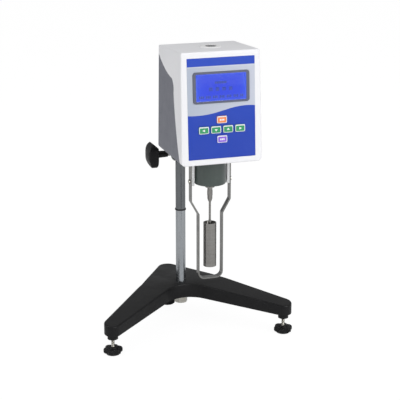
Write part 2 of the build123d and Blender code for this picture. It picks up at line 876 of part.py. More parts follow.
def spindle():
    """Measuring cylinder with a dished top on its thin rod."""
    top = spindle_bottom + spindle_length
    body = upright(spindle_radius, spindle_bottom, top, 0, spindle_y)
    body = body - upright(spindle_radius - spindle_rim, top - spindle_dish, top, 0, spindle_y)
    cone = Pos(0, spindle_y, top - spindle_dish) * Cone(
        spindle_cone_radius,
        spindle_rod_radius,
        spindle_cone_height,
        align=(Align.CENTER, Align.CENTER, Align.MIN),
    )
    rod = upright(spindle_rod_radius, top - spindle_dish, coupling_bottom + rod_engaged, 0, spindle_y)
    return body + cone + rod


def spindle_coupling():
    """Threaded coupling with its splash disc, below the cup."""
    taper_top = coupling_bottom + coupling_taper
    taper = Pos(0, spindle_y, coupling_bottom) * Cone(
        coupling_tip,
        coupling_radius,
        coupling_taper,
        align=(Align.CENTER, Align.CENTER, Align.MIN),
    )
    top = coupling_top + coupling_into_cup
    body = taper + upright(coupling_radius, taper_top, top, 0, spindle_y)
    body = body + upright(splash_radius, coupling_top - splash_thickness, coupling_top, 0, spindle_y)
    body = body - upright(spindle_rod_radius, coupling_bottom, coupling_bottom + rod_engaged, 0, spindle_y)
    return body - upright(main_shaft_radius, top - shaft_engaged, top, 0, spindle_y)


def main_shaft():
    """Measuring shaft, from the coupling up into the hollow drive shaft."""
    bottom = coupling_top + coupling_into_cup - shaft_engaged
    return upright(main_shaft_radius, bottom, drive_gear_top, 0, spindle_y)


# Works inside the head

def pivot_plate():
    """Bearing plate across the cup that centres the measuring shaft."""
    radius = cup_radius - cup_wall
    plate = upright(radius, pivot_plate_z, pivot_plate_z + pivot_plate_thickness, 0, spindle_y)
    return plate - upright(pivot_radius, pivot_plate_z, pivot_plate_z + pivot_plate_thickness, 0, spindle_y)


def shaft_bearings():
    """Bearing ring of the measuring shaft and flanged bush of the drive shaft."""
    low = pivot_plate_z - pivot_lip
    high = pivot_plate_z + pivot_plate_thickness + pivot_lip
    pivot = tube(pivot_radius, main_shaft_radius + fit, low, high, 0, spindle_y)
    top = upper_plate_top + bearing_flange
    bush = tube(bearing_radius, drive_shaft_radius + fit, upper_plate_z, top, 0, spindle_y)
    rim = tube(bearing_radius + 2, drive_shaft_radius + fit, upper_plate_top, top, 0, spindle_y)
    return [pivot, bush + rim]


def post_places():
    """Four posts that hold the upper plate over the floor plate."""
    half = head_half_top - cover_wall - post_inset
    front = head_front_y + cover_wall + 2 * post_inset
    back = head_rear_y - cover_wall - rear_post_inset
    return [(x, y) for x in (-half, half) for y in (front, back)]


def floor_plate():
    """Aluminium plate on the arm that carries the works and the covers."""
    half = head_half_top - cover_wall - 2 * clear
    front = head_front_y + cover_wall + plate_front_gap
    back = head_rear_y - cover_wall - plate_back_gap
    plate = block((-half, half), (front, back), (floor_bottom, floor_top))
    return plate - upright(cup_radius - cup_wall, floor_bottom, floor_top, 0, spindle_y)


def floor_posts():
    """Turned posts between the two plates."""
    return [upright(post_radius, floor_top, upper_plate_z, x, y) for x, y in post_places()]


def upper_plate():
    """Plate that carries the motor and the drive bearing."""
    half = max(x for x, y in post_places()) + plate_edge
    front = min(y for x, y in post_places()) - plate_edge
    back = max(y for x, y in post_places()) + plate_edge
    plate = block((-half, half), (front, back), (upper_plate_z, upper_plate_top))
    plate = plate - upright(bearing_radius, upper_plate_z, upper_plate_top, 0, spindle_y)
    return plate - upright(motor_hub_radius() + clear, upper_plate_z, upper_plate_top, 0, motor_y)


def motor_hub_radius():
    """Radius of the motor's register under its flange."""
    return drive_module * (motor_teeth / 2 + 1) + motor_shaft_radius


def drive_motor():
    """Synchronous motor standing on the upper plate."""
    can = upright(motor_radius, upper_plate_top, upper_plate_top + motor_height, 0, motor_can_y)
    can = fillet(can.edges().sort_by(Axis.Z)[-1], motor_shaft_radius)
    middle = upper_plate_top + motor_height / 2
    return can - upright(motor_shaft_radius + fit, upper_plate_top, middle, 0, motor_y)


def motor_pinion():
    """Motor shaft with its pinion."""
    top = upper_plate_top + motor_height / 2 - clear
    shaft = upright(motor_shaft_radius, drive_gear_bottom, top, 0, motor_y)
    turn = 270.0 + 180.0 / motor_teeth
    outline = Rot(0, 0, turn) * gear_outline(drive_module, motor_teeth, backlash)
    return shaft + extrude(Pos(0, motor_y, drive_gear_bottom) * outline, amount=drive_gear_width)


def drive_gear():
    """Large gear on the hollow drive shaft."""
    outline = Rot(0, 0, 90) * gear_outline(drive_module, drive_teeth, backlash)
    gear = extrude(Pos(0, spindle_y, drive_gear_bottom) * outline, amount=drive_gear_width)
    top = upper_plate_top + bearing_flange
    return gear + upright(drive_shaft_radius, upper_disc_z, top, 0, spindle_y) - upright(
        main_shaft_radius + fit, upper_disc_z, top, 0, spindle_y
    )


def slotted_disc(z, bore):
    """Thin encoder disc with a ring of slots."""
    outline = Circle(disc_radius) - Circle(bore)
    for place in PolarLocations(disc_radius - slot_inset, disc_slots):
        outline = outline - place * Rectangle(slot_length, slot_width)
    return Pos(0, spindle_y, z) * extrude(outline, amount=disc_thickness)


def drive_disc():
    """Disc on the drive shaft, with the post that holds the hairspring's outer end."""
    face = upper_disc_z + disc_thickness
    hub = tube(drive_shaft_radius + 2, drive_shaft_radius, face, face + disc_hub_height, 0, spindle_y)
    post_x = spring_inner + spring_pitch * spring_turns + spring_strip / 2 + stud_pin_radius
    post = upright(stud_pin_radius, lower_disc_z + spring_lift, upper_disc_z, post_x, spindle_y)
    return [slotted_disc(upper_disc_z, drive_shaft_radius) + hub, post]


def shaft_disc():
    """Disc and collet on the measuring shaft."""
    face = lower_disc_z + disc_thickness
    collet = tube(collet_radius, main_shaft_radius, face, lower_disc_z + collet_height, 0, spindle_y)
    return slotted_disc(lower_disc_z, main_shaft_radius) + collet


def hairspring():
    """Flat spiral spring between the measuring shaft and the drive."""
    half = spring_strip / 2
    with BuildSketch() as sketch:
        with BuildLine():
            first = Spline(*spiral(half))
            second = Spline(*reversed(spiral(-half)))
            Line(first @ 1, second @ 0)
            Line(second @ 1, first @ 0)
        make_face()
    strip = extrude(sketch.sketch, amount=spring_width)
    tail = block((collet_radius, spring_inner), (-spring_strip, 0), (0, spring_width))
    return Pos(0, spindle_y, lower_disc_z + spring_lift) * (strip + tail)


def spiral(side):
    """Points along the hairspring, offset to one side; the radius grows evenly with the angle."""
    steps = 12
    points = []
    for step in range(steps * spring_turns + 1):
        angle = 2 * math.pi * step / steps
        radius = spring_inner + spring_pitch * step / steps + side
        points.append((radius * math.cos(angle), radius * math.sin(angle)))
    return points


def sensor_forks():
    """Optical forks that read the two discs, on one bracket."""
    forks = []
    for side, disc_z in ((-1, upper_disc_z), (1, lower_disc_z)):
        inner = side * (disc_radius - sensor_bite)
        outer = side * (disc_radius - sensor_bite + sensor_depth)
        middle = disc_z + disc_thickness / 2
        body = block(
            span(inner, outer),
            (spindle_y - sensor_width / 2, spindle_y + sensor_width / 2),
            (middle - sensor_height / 2, middle + sensor_height / 2),
        )
        slot = block(
            span(0, side * (disc_radius + 1)),
            (spindle_y - sensor_width, spindle_y + sensor_width),
            (middle - sensor_slot / 2, middle + sensor_slot / 2),
        )
        forks.append(body - slot)
    return forks


def sensor_brackets():
    """Angle brackets from the floor plate to each fork, and the rail of the main board."""
    brackets = [board_rail()]
    depth = (spindle_y - sensor_width / 2, spindle_y + sensor_width / 2)
    for side, disc_z in ((-1, upper_disc_z), (1, lower_disc_z)):
        face = side * (disc_radius - sensor_bite + sensor_depth)
        web = span(face, face + side * bracket_thickness)
        foot = span(face, face + side * bracket_foot)
        brackets.append(
            block(web, depth, (floor_top, disc_z + sensor_height / 2))
            + block(foot, depth, (floor_top, floor_top + bracket_thickness))
        )
    return brackets


def main_board():
    """Circuit board standing on the floor plate beside the works, with its larger parts."""
    face = board_x() - board_thickness
    low = floor_top + rail_floor
    front = head_front_y + board_front_inset
    back = head_rear_y - board_rear_inset
    middle = (front + back) / 2
    half = chip_size / 2
    chip_z = low + board_height / 2
    board = block((face, board_x()), (front, back), (low, low + board_height))
    width, height = (middle - half, middle + half), (chip_z - half, chip_z + half)
    board = board + block((face - chip_height, face), width, height)
    for side in (-1, 1):
        place = (middle + side * capacitor_spread, chip_z + half)
        board = board + crosswise(capacitor_radius, face - capacitor_height, face, *place)
    return board


def board_x():
    """Outer face of the main board."""
    return head_half_top - cover_wall - board_inset


def board_rail():
    """Slotted rail on the floor plate that holds the main board."""
    inner = board_x() - board_thickness
    length = (head_front_y + board_front_inset + rail_lip, head_rear_y - board_rear_inset - rail_lip)
    rail = block((inner - rail_lip, board_x() + rail_lip), length, (floor_top, floor_top + rail_height))
    return rail - block((inner, board_x()), length, (floor_top + rail_floor, floor_top + rail_height))


# Covers and front panel

def head_side_face():
    """Side outline of the head on the YZ plane."""
    front_top = head_front_y + head_height * math.tan(lean)
    fall = (head_rear_y - front_top) * math.tan(math.radians(top_slope))
    return make_face(Plane.YZ * Polyline(
        (head_front_y, head_bottom),
        (head_rear_y, head_bottom),
        (head_rear_y, head_top_front - fall),
        (front_top, head_top_front),
        close=True,
    ))


def head_block(inset):
    """Whole head as a rounded block, shrunk on every side by an inset."""
    side = offset(head_side_face(), amount=-inset, kind=Kind.INTERSECTION) if inset else head_side_face()
    trapezoid = make_face(Plane.XZ * Polyline(
        (-head_half_bottom, head_bottom),
        (head_half_bottom, head_bottom),
        (head_half_top, head_top_front),
        (-head_half_top, head_top_front),
        close=True,
    ))
    front = offset(trapezoid, amount=-inset, kind=Kind.INTERSECTION) if inset else trapezoid
    depth = extrude(side, amount=2 * head_half_bottom, both=True)
    width = extrude(front, amount=2 * (spindle_reach + head_back), both=True)
    solid = depth & width
    along = solid.edges().filter_by(lambda e: abs(e.tangent_at(0.5).Y) > 0.9)
    solid = fillet(along.group_by(Axis.Z)[0], head_lower_round - inset)
    if inset:
        return solid
    by_depth = solid.faces().sort_by(Axis.Y)
    along = solid.edges().filter_by(lambda e: abs(e.tangent_at(0.5).Y) > 0.9)
    return fillet(by_depth[0].edges() + by_depth[-1].edges() + along.group_by(Axis.Z)[-1], head_round)


def front_region(gap):
    """Everything in front of and above the parting line, less a gap."""
    rear_line = head_top_front - parting_rear_drop - gap
    with BuildSketch(Plane.YZ) as sketch:
        with BuildLine():
            start = (head_rear_y, rear_line)
            sweep = ThreePointArc(
                start,
                (spindle_y + parting_sweep[0][0], head_top_front - parting_sweep[0][1] - gap),
                (spindle_y + parting_sweep[1][0], head_top_front - parting_sweep[1][1] - gap),
            )
            turn = ThreePointArc(
                sweep @ 1,
                (spindle_y + parting_turn[0][0] + gap, head_top_front - parting_turn[0][1] - gap),
                (spindle_y + parting_turn[1][0] + gap, head_top_front - parting_turn[1][1]),
            )
            drop = ThreePointArc(
                turn @ 1,
                (spindle_y + parting_drop[0][0] + gap, head_bottom + parting_drop[0][1]),
                (spindle_y + parting_drop[1][0] + gap, head_bottom + parting_drop[1][1]),
            )
            Polyline(
                drop @ 1,
                (head_front_y - beyond, head_bottom + parting_drop[1][1]),
                (head_front_y - beyond, head_top_front + beyond),
                (head_rear_y + beyond, head_top_front + beyond),
                (head_rear_y + beyond, rear_line),
                start,
            )
        make_face()
    return extrude(sketch.sketch, amount=2 * head_half_bottom, both=True)


def shell():
    """Hollow head casing before it is parted."""
    return head_block(0) - head_block(cover_wall)


def floor_opening():
    """Way through the casing's bottom for the arm and the cup."""
    half = arm_width / 2 + 1
    way = upright(ring_block_radius + 1, head_bottom - 1, floor_bottom, 0, spindle_y)
    step = head_rear_y - cover_wall - arm_way_step
    way = way + block((-half, half), (spindle_y, step), (head_bottom - 1, floor_bottom))
    arm = block((-half, half), (step - 1, head_rear_y + 1), (head_bottom - 1, floor_bottom + 1))
    return way + arm


def key_opening(x, up):
    """Way through the front for one key."""
    width, height = key_width + 2 * clear, key_height + 2 * clear
    return face_block(x, up, width, height, -cut_past, cover_wall + cut_past, key_corner)


def screen_opening():
    """Way through the front for the screen."""
    reach = (-cut_past, cover_wall + cut_past)
    return face_block(0, bezel_middle, screen_width, screen_height, *reach, screen_corner)


def front_cover():
    """White front and top cover with the panel recess, screen opening and key openings."""
    cover = shell() & front_region(0)
    cover = cover - floor_opening()
    cover = cover - face_block(
        0,
        panel_middle,
        2 * (panel_half_width + clear / 2),
        panel_high - panel_low + clear,
        -5,
        panel_thickness,
        panel_corner,
    )
    cover = cover - face_block(
        0, bezel_middle, bezel_width + 2 * clear, bezel_height + 2 * clear, -5, bezel_depth, bezel_corner
    )
    cover = cover - screen_opening()
    for x, up in key_places.values():
        cover = cover - key_opening(x, up)
    inner = cover_wall - boss_bite
    for x, up in board_boss_places():
        cover = cover + face_pin(x, up, board_boss_radius, inner, key_board_depth())
    for x, up in screen_boss_places():
        cover = cover + face_pin(x, up, board_boss_radius, inner, screen_board_depth())
    top = head_top_at(vial_y)
    return cover - upright(vial_body_radius + clear, top - 20, top + 10, vial_x, vial_y)


def rear_cover():
    """Grey rear and side cover with the openings for the connections."""
    cover = shell() - front_region(parting_gap) - floor_opening()
    reach = (head_rear_y - 2 * cover_wall, head_rear_y + 1)
    half = switch_width / 2 + clear
    tall = switch_height / 2 + clear
    row = (rear_row_z - tall, rear_row_z + tall)
    cover = cover - block((-rear_spread - half, -rear_spread + half), reach, row)
    half = port_width / 2 + clear
    tall = port_height / 2 + clear
    cover = cover - block((-half, half), reach, (rear_row_z - tall, rear_row_z + tall))
    cover = cover - lengthwise(inlet_radius + clear, reach[0], reach[1], rear_spread, rear_row_z)
    for x, z in cover_screw_places():
        root = head_rear_y - cover_wall + boss_bite
        cover = cover + lengthwise(cover_boss_radius, head_rear_y - cover_boss_depth, root, x, z)
        cover = cover - lengthwise(screw_radius, head_rear_y - 2 * screw_length, head_rear_y + 1, x, z)
        cover = cover - lengthwise(screw_head_radius + clear, head_rear_y - screw_sink, head_rear_y + 1, x, z)
    return cover


def head_top_at(y):
    """Height of the sloping top over a place along Y."""
    front_top = head_front_y + head_height * math.tan(lean)
    return head_top_front - (y - front_top) * math.tan(math.radians(top_slope))


def key_board_depth():
    """Depth of the key board's front face behind the leaning face."""
    return cover_wall + fit + key_flange_thickness + key_travel + 2 * fit + dome_thickness


def screen_board_depth():
    """Depth of the screen board's front face behind the leaning face."""
    return bezel_depth + screen_block_depth


def board_boss_places():
    """Bosses under the corners of the key board."""
    half = 1.5 * key_pitch + key_width / 2 + board_edge
    tall = key_row_gap + key_height / 2 + board_edge
    return [(x, key_row_middle + y) for x in (-half, half) for y in (-tall, tall)]


def screen_boss_places():
    """Bosses under the corners of the screen board."""
    half = bezel_width / 2 + board_edge - 1
    tall = bezel_height / 2 - board_edge
    return [(x, bezel_middle + y) for x in (-half, half) for y in (-tall, tall)]


def front_panel():
    """Printed membrane laid in the cover's recess, with openings for the screen and the keys."""
    panel = face_block(
        0, panel_middle, 2 * panel_half_width, panel_high - panel_low, 0, panel_thickness, panel_corner
    )
    panel = panel - face_block(
        0, bezel_middle, bezel_width + 2 * clear, bezel_height + 2 * clear, -1, cover_wall, bezel_corner
    )
    for x, up in key_places.values():
        panel = panel - key_opening(x, up)
    return panel


def lcd_bezel():
    """Dark frame round the screen."""
    frame = face_block(0, bezel_middle, bezel_width, bezel_height, -bezel_proud, bezel_depth, bezel_corner)
    return frame - screen_opening()


def lcd_window():
    """Clear window in the frame."""
    sunk = window_sunk - bezel_proud
    width, height = screen_width - 2 * fit, screen_height - 2 * fit
    return face_block(0, bezel_middle, width, height, sunk, sunk + window_thickness, screen_corner)


def lcd_module():
    """Screen block with its circuit board behind the cover."""
    sunk = window_sunk - bezel_proud + window_thickness
    glass = face_block(
        0, bezel_middle, screen_width - 1, screen_height - 1, sunk, screen_board_depth(), screen_corner
    )
    half = bezel_width / 2 + 2 * board_edge - 1
    board = face_block(
        0,
        bezel_middle,
        2 * half,
        bezel_height,
        screen_board_depth(),
        screen_board_depth() + board_thickness,
    )
    return glass + board


def key_cap(x, up):
    """One key with the flange that keeps it behind the cover."""
    back = cover_wall + fit
    cap = face_block(x, up, key_width, key_height, -key_proud, back, key_corner)
    front = cap.faces().sort_by(Axis.Y)[0]
    cap = fillet(front.edges(), key_edge_round)
    flange = face_block(
        x,
        up,
        key_width + 2 * key_flange,
        key_height + 2 * key_flange,
        back,
        back + key_flange_thickness,
        key_corner,
    )
    return cap + flange


def key_board():
    """Circuit board behind the keys, with a spring dome under each key."""
    half = 1.5 * key_pitch + key_width / 2 + 2 * board_edge
    tall = key_row_gap + key_height / 2 + 2 * board_edge
    depth = key_board_depth()
    board = face_block(0, key_row_middle, 2 * half, 2 * tall, depth, depth + board_thickness, board_corner)
    domes = [face_pin(x, up, dome_radius, depth - dome_thickness, depth) for x, up in key_places.values()]
    return [board] + domes


def cover_screw_places():
    """Screws through the rear cover."""
    half = head_half_top - screw_side_inset
    heights = (head_bottom + screw_low_inset, head_top_front - screw_high_inset)
    return [(x, z) for x in (-half, half) for z in heights]


def cover_screws():
    """Screws that hold the rear cover."""
    screws = []
    for x, z in cover_screw_places():
        seat = head_rear_y - screw_sink
        stem = lengthwise(screw_radius, head_rear_y - screw_length, seat, x, z)
        head = lengthwise(screw_head_radius, seat, head_rear_y - fit, x, z)
        slot = block(
            (x - screw_head_radius, x + screw_head_radius),
            (head_rear_y - screw_slot_depth, head_rear_y),
            (z - screw_slot / 2, z + screw_slot / 2),
        )
        screws.append(stem + head - slot)
    return screws


# Level and rear connections

def level_ring():
    """White holder of the level, let into the top cover."""
    top = head_top_at(vial_y) + vial_ring_thickness / 2
    ring = upright(vial_ring_radius, top - vial_ring_thickness, top, vial_x, vial_y)
    ring = fillet(ring.edges().sort_by(Axis.Z)[-1], 0.8)
    body = ring + upright(vial_body_radius, top - vial_depth, top - vial_ring_thickness, vial_x, vial_y)
    cover = head_block(0) - upright(vial_body_radius, top - 20, top + 10, vial_x, vial_y)
    body = body - cover
    return body - upright(vial_glass_radius + fit, top - vial_depth + 1.5, top, vial_x, vial_y)


def level_glass():
    """Round glass of the level."""
    top = head_top_at(vial_y) + vial_ring_thickness / 2 - 0.5
    bottom = head_top_at(vial_y) + vial_ring_thickness / 2 - vial_depth + 1.5
    glass = upright(vial_glass_radius, bottom, top, vial_x, vial_y)
    return glass - upright(
        vial_glass_radius - vial_glass_wall, bottom + vial_glass_wall, top - vial_glass_wall, vial_x, vial_y
    )


def level_liquid():
    """Liquid in the level, with the bubble left open at its top."""
    top = head_top_at(vial_y) + vial_ring_thickness / 2 - 0.5 - vial_glass_wall
    bottom = head_top_at(vial_y) + vial_ring_thickness / 2 - vial_depth + 1.5 + vial_glass_wall
    liquid = upright(vial_glass_radius - vial_glass_wall, bottom, top, vial_x, vial_y)
    return liquid - upright(vial_bubble_radius, top - 1.2, top, vial_x, vial_y)


def switch_frame():
    """Housing of the power switch in the rear cover."""
    frame = block(
        (-rear_spread - switch_width / 2, -rear_spread + switch_width / 2),
        (head_rear_y - switch_depth, head_rear_y),
        (rear_row_z - switch_height / 2, rear_row_z + switch_height / 2),
    )
    flange = block(
        (-rear_spread - switch_width / 2 - switch_wall, -rear_spread + switch_width / 2 + switch_wall),
        (head_rear_y, head_rear_y + switch_flange),
        (rear_row_z - switch_height / 2 - switch_wall, rear_row_z + switch_height / 2 + switch_wall),
    )
    well = block(
        (-rear_spread - switch_width / 2 + switch_wall, -rear_spread + switch_width / 2 - switch_wall),
        (head_rear_y - switch_depth + switch_floor, head_rear_y + switch_flange),
        (rear_row_z - switch_height / 2 + switch_wall, rear_row_z + switch_height / 2 - switch_wall),
    )
    frame = frame + flange - well
    reach = switch_width / 2 - switch_wall / 3
    pin = (-rear_spread - reach, -rear_spread + reach)
    return frame - crosswise(rocker_pin_radius + fit, *pin, head_rear_y - rocker_pivot, rear_row_z)


def power_rocker():
    """Rocker of the power switch on its cross pin."""
    half = switch_width / 2 - switch_wall - rocker_gap
    tall = switch_height / 2 - switch_wall - 3 * rocker_gap
    pivot_y = head_rear_y - rocker_pivot
    outline = make_face(Plane.YZ * Polyline(
        (pivot_y - rocker_depth, rear_row_z - tall / 2),
        (pivot_y + rocker_shoulder, rear_row_z - tall),
        (pivot_y + rocker_proud, rear_row_z - tall),
        (pivot_y + rocker_middle, rear_row_z),
        (pivot_y + rocker_proud, rear_row_z + tall),
        (pivot_y + rocker_shoulder, rear_row_z + tall),
        (pivot_y - rocker_depth, rear_row_z + tall / 2),
        close=True,
    ))
    body = Pos(-rear_spread, 0, 0) * extrude(outline, amount=half, both=True)
    reach = switch_width / 2 - switch_wall / 2
    pin = (-rear_spread - reach, -rear_spread + reach)
    return body + crosswise(rocker_pin_radius, *pin, pivot_y, rear_row_z)


def power_inlet():
    """Round low-voltage inlet in the rear cover."""
    place = (rear_spread, rear_row_z)
    bottom = head_rear_y - inlet_depth
    mouth = head_rear_y + inlet_rim_height
    body = lengthwise(inlet_radius, bottom, head_rear_y, *place)
    body = body + lengthwise(inlet_radius + inlet_rim, head_rear_y, mouth, *place)
    body = body - lengthwise(inlet_bore, bottom + inlet_floor, mouth, *place)
    return body + lengthwise(inlet_pin_radius, bottom, head_rear_y - inlet_floor, *place)


def data_port():
    """Nine-pin port in the rear cover."""
    shell_block = block(
        (-port_width / 2, port_width / 2),
        (head_rear_y - port_depth, head_rear_y + port_proud),
        (rear_row_z - port_height / 2, rear_row_z + port_height / 2),
    )
    flange = block(
        (-port_flange_width / 2, port_flange_width / 2),
        (head_rear_y, head_rear_y + port_flange),
        (rear_row_z - port_flange_height / 2, rear_row_z + port_flange_height / 2),
    )
    mouth = block(
        (-port_width / 2 + port_wall, port_width / 2 - port_wall),
        (head_rear_y, head_rear_y + port_proud),
        (rear_row_z - port_height / 2 + port_wall, rear_row_z + port_height / 2 - port_wall),
    )
    body = shell_block + flange - mouth
    for count, z in ((5, rear_row_z + port_row_half), (4, rear_row_z - port_row_half)):
        for k in range(count):
            x = (k - (count - 1) / 2) * port_pin_pitch
            body = body + lengthwise(port_pin_radius, head_rear_y - 1, head_rear_y + port_proud - 1, x, z)
    return body


def build_parts():
    """All nodes by name; a list is a group of like solids."""
    parts = {
        "base_casting": base_casting(),
        "column_lower": column_lower(),
        "column_ring": column_ring(),
        "column_upper": column_upper(),
        "column_cap": column_cap(),
        "column_nut": column_nut(),
        "carriage_arm": carriage_arm(),
        "guide_bushes": guide_bushes(),
        "tension_screw": tension_screw(),
        "pinion_shaft": pinion_shaft(),
        "shaft_collar": shaft_collar(),
        "lift_knob": lift_knob(),
        "spindle_cup": spindle_cup(),
        "guard_ears": guard_ears(),
        "spindle_guard": spindle_guard(),
        "guard_screws": guard_screws(),
        "spindle": spindle(),
        "spindle_coupling": spindle_coupling(),
        "main_shaft": main_shaft(),
        "pivot_plate": pivot_plate(),
        "shaft_bearings": shaft_bearings(),
        "floor_plate": floor_plate(),
        "floor_posts": floor_posts(),
        "upper_plate": upper_plate(),
        "drive_motor": drive_motor(),
        "motor_pinion": motor_pinion(),
        "drive_gear": drive_gear(),
        "drive_disc": drive_disc(),
        "shaft_disc": shaft_disc(),
        "hairspring": hairspring(),
        "sensor_forks": sensor_forks(),
        "sensor_brackets": sensor_brackets(),
        "main_board": main_board(),
        "front_cover": front_cover(),
        "rear_cover": rear_cover(),
        "front_panel": front_panel(),
        "lcd_bezel": lcd_bezel(),
        "lcd_window": lcd_window(),
        "lcd_module": lcd_module(),
        "key_board": key_board(),
        "cover_screws": cover_screws(),
        "level_ring": level_ring(),
        "level_glass": level_glass(),
        "level_liquid": level_liquid(),
        "switch_frame": switch_frame(),
        "power_rocker": power_rocker(),
        "power_inlet": power_inlet(),
        "data_port": data_port(),
    }
    for name, (x, y) in foot_places.items():
        parts["foot_pad_" + name] = foot_pad(x, y)
        parts["foot_knob_" + name] = foot_knob(x, y)
    for name, (x, up) in key_places.items():
        parts[name] = key_cap(x, up)
    return parts


def main():
    """Write one file for each node."""
    os.makedirs("parts", exist_ok=True)
    for name, shape in build_parts().items():
        if isinstance(shape, list):
            shape = Compound(children=shape)
        export_step(shape, "parts/" + name + ".step")


main()
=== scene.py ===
import math

import bpy
import numpy as np
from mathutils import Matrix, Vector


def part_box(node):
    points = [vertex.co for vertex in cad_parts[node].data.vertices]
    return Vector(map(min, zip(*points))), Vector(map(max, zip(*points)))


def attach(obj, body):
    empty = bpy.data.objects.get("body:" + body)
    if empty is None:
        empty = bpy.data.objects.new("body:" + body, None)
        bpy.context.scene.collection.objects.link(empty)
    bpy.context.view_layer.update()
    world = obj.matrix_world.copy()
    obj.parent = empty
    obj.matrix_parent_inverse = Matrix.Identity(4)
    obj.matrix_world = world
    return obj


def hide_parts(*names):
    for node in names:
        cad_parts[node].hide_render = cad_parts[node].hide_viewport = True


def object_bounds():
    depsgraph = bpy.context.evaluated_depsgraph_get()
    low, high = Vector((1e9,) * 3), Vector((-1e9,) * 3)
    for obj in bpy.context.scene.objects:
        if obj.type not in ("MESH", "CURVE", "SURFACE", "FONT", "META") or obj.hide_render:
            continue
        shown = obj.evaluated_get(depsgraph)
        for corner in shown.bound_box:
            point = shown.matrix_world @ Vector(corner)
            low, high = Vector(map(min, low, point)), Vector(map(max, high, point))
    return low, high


# Dresses the bench viscometer: finishes for every piece, and the fine shapes that the solids leave out.
# Metres, in the frame of the solids: +Z up, the display faces -Y.

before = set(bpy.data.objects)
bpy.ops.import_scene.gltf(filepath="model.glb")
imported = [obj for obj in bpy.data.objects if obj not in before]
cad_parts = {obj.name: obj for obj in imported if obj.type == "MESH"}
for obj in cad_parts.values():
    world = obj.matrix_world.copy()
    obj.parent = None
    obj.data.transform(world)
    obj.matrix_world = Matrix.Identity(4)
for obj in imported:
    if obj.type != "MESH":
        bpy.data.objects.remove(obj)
cad_low, cad_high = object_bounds()

mm = 0.001
turn = 2 * math.pi

# Front face: its lean, and where its lower edge lies
head_lean = math.radians(3.6)
face_front = -143.5 * mm
face_bottom = 305.0 * mm

# Key rims and marks: width, height and corner radius of each outline, and heights out of the face
rim_outer = (13.9 * mm, 9.5 * mm, 1.6 * mm)
rim_inner = (12.3 * mm, 7.5 * mm, 1.0 * mm)
rim_shift = 0.35 * mm
rim_foot = 1.2 * mm
rim_top = 1.5 * mm
mark_foot = 1.25 * mm
mark_top = 1.42 * mm
mark_shift = 0.3 * mm
mark_bar = (1.7 * mm, 2.4 * mm)
mark_pitch = 2.3 * mm
arrow_reach = 2.0 * mm
arrow_stretch = 1.25

# Marks on the display, and the pale line of the panel
screen_middle = 106.2 * mm
screen_mark_foot = 0.55 * mm
screen_mark_top = 0.62 * mm
line_place = 134.6 * mm
line_width = 96.2 * mm
line_height = 0.7 * mm
line_foot = -0.02 * mm
line_top = 0.03 * mm
strip_height = 11.2 * mm

# Feet
wheel_lobes = 6
valley_depth = 0.2
valley_power = 1.6
wheel_low = 2.3 * mm
wheel_high = 11.2 * mm
stud_radius = 2.5 * mm
stud_pitch = 0.8 * mm
stud_low = 11.0 * mm
stud_high = 36.0 * mm
thread_depth = 0.35 * mm

# Coupling and spirit level
spindle_axis = (0.0, -89.3 * mm)
knurl_depth = 0.16 * mm
knurl_count = 26
target_inner = 3.3 * mm
target_outer = 3.7 * mm
target_height = 0.05 * mm

# Shading of the solids
join_distance = 0.005 * mm
crisp_angle = math.radians(28)

# Camera, solved from the photograph's perspective
camera_place = (-0.5421, -1.7157, 0.7554)
camera_pitch = math.radians(90 - 16.792)
camera_yaw = math.radians(-17.965)
camera_lens = 113.19


# Shader helpers

def add(tree, kind, inputs=None, **settings):
    """Adds a node, sets its fields, and fills its inputs with values or links."""
    node = tree.nodes.new(kind)
    for key, value in settings.items():
        setattr(node, key, value)
    for key, value in (inputs or {}).items():
        socket = node.inputs[key]
        if isinstance(value, bpy.types.NodeSocket):
            tree.links.new(value, socket)
        else:
            socket.default_value = value
    return node


def math_node(tree, operation, first, second=0.0):
    """One arithmetic step on two values or sockets."""
    return add(tree, "ShaderNodeMath", {0: first, 1: second}, operation=operation).outputs[0]


def spread(tree, value, low, high, new_low=0.0, new_high=1.0):
    """Maps a value's span to another span, clamped."""
    node = add(tree, "ShaderNodeMapRange", {
        "Value": value, "From Min": low, "From Max": high, "To Min": new_low, "To Max": new_high,
    })
    return node.outputs["Result"]


def blend_colours(tree, share, first, second):
    """Mixes two colours by a share."""
    node = add(tree, "ShaderNodeMix", data_type="RGBA")
    for socket, value in zip((node.inputs[0], node.inputs[6], node.inputs[7]), (share, first, second)):
        if isinstance(value, bpy.types.NodeSocket):
            tree.links.new(value, socket)
        else:
            socket.default_value = value
    return node.outputs[2]


def new_group(name, inputs, outputs):
    """Empty node group with named value inputs and outputs; returns the tree and its two end nodes."""
    tree = bpy.data.node_groups.new(name, "ShaderNodeTree")
    for label, kind, default in inputs:
        socket = tree.interface.new_socket(label, in_out="INPUT", socket_type=kind)
        socket.default_value = default
    for label, kind in outputs:
        tree.interface.new_socket(label, in_out="OUTPUT", socket_type=kind)
    return tree, tree.nodes.new("NodeGroupInput"), tree.nodes.new("NodeGroupOutput")


def noise(tree, vector, scale, detail=3.0, roughness=0.55):
    """Soft fractal noise from 0 to 1."""
    return add(tree, "ShaderNodeTexNoise", {
        "Vector": vector, "Scale": scale, "Detail": detail, "Roughness": roughness,
    }).outputs["Fac"]


# Effects that several finishes share

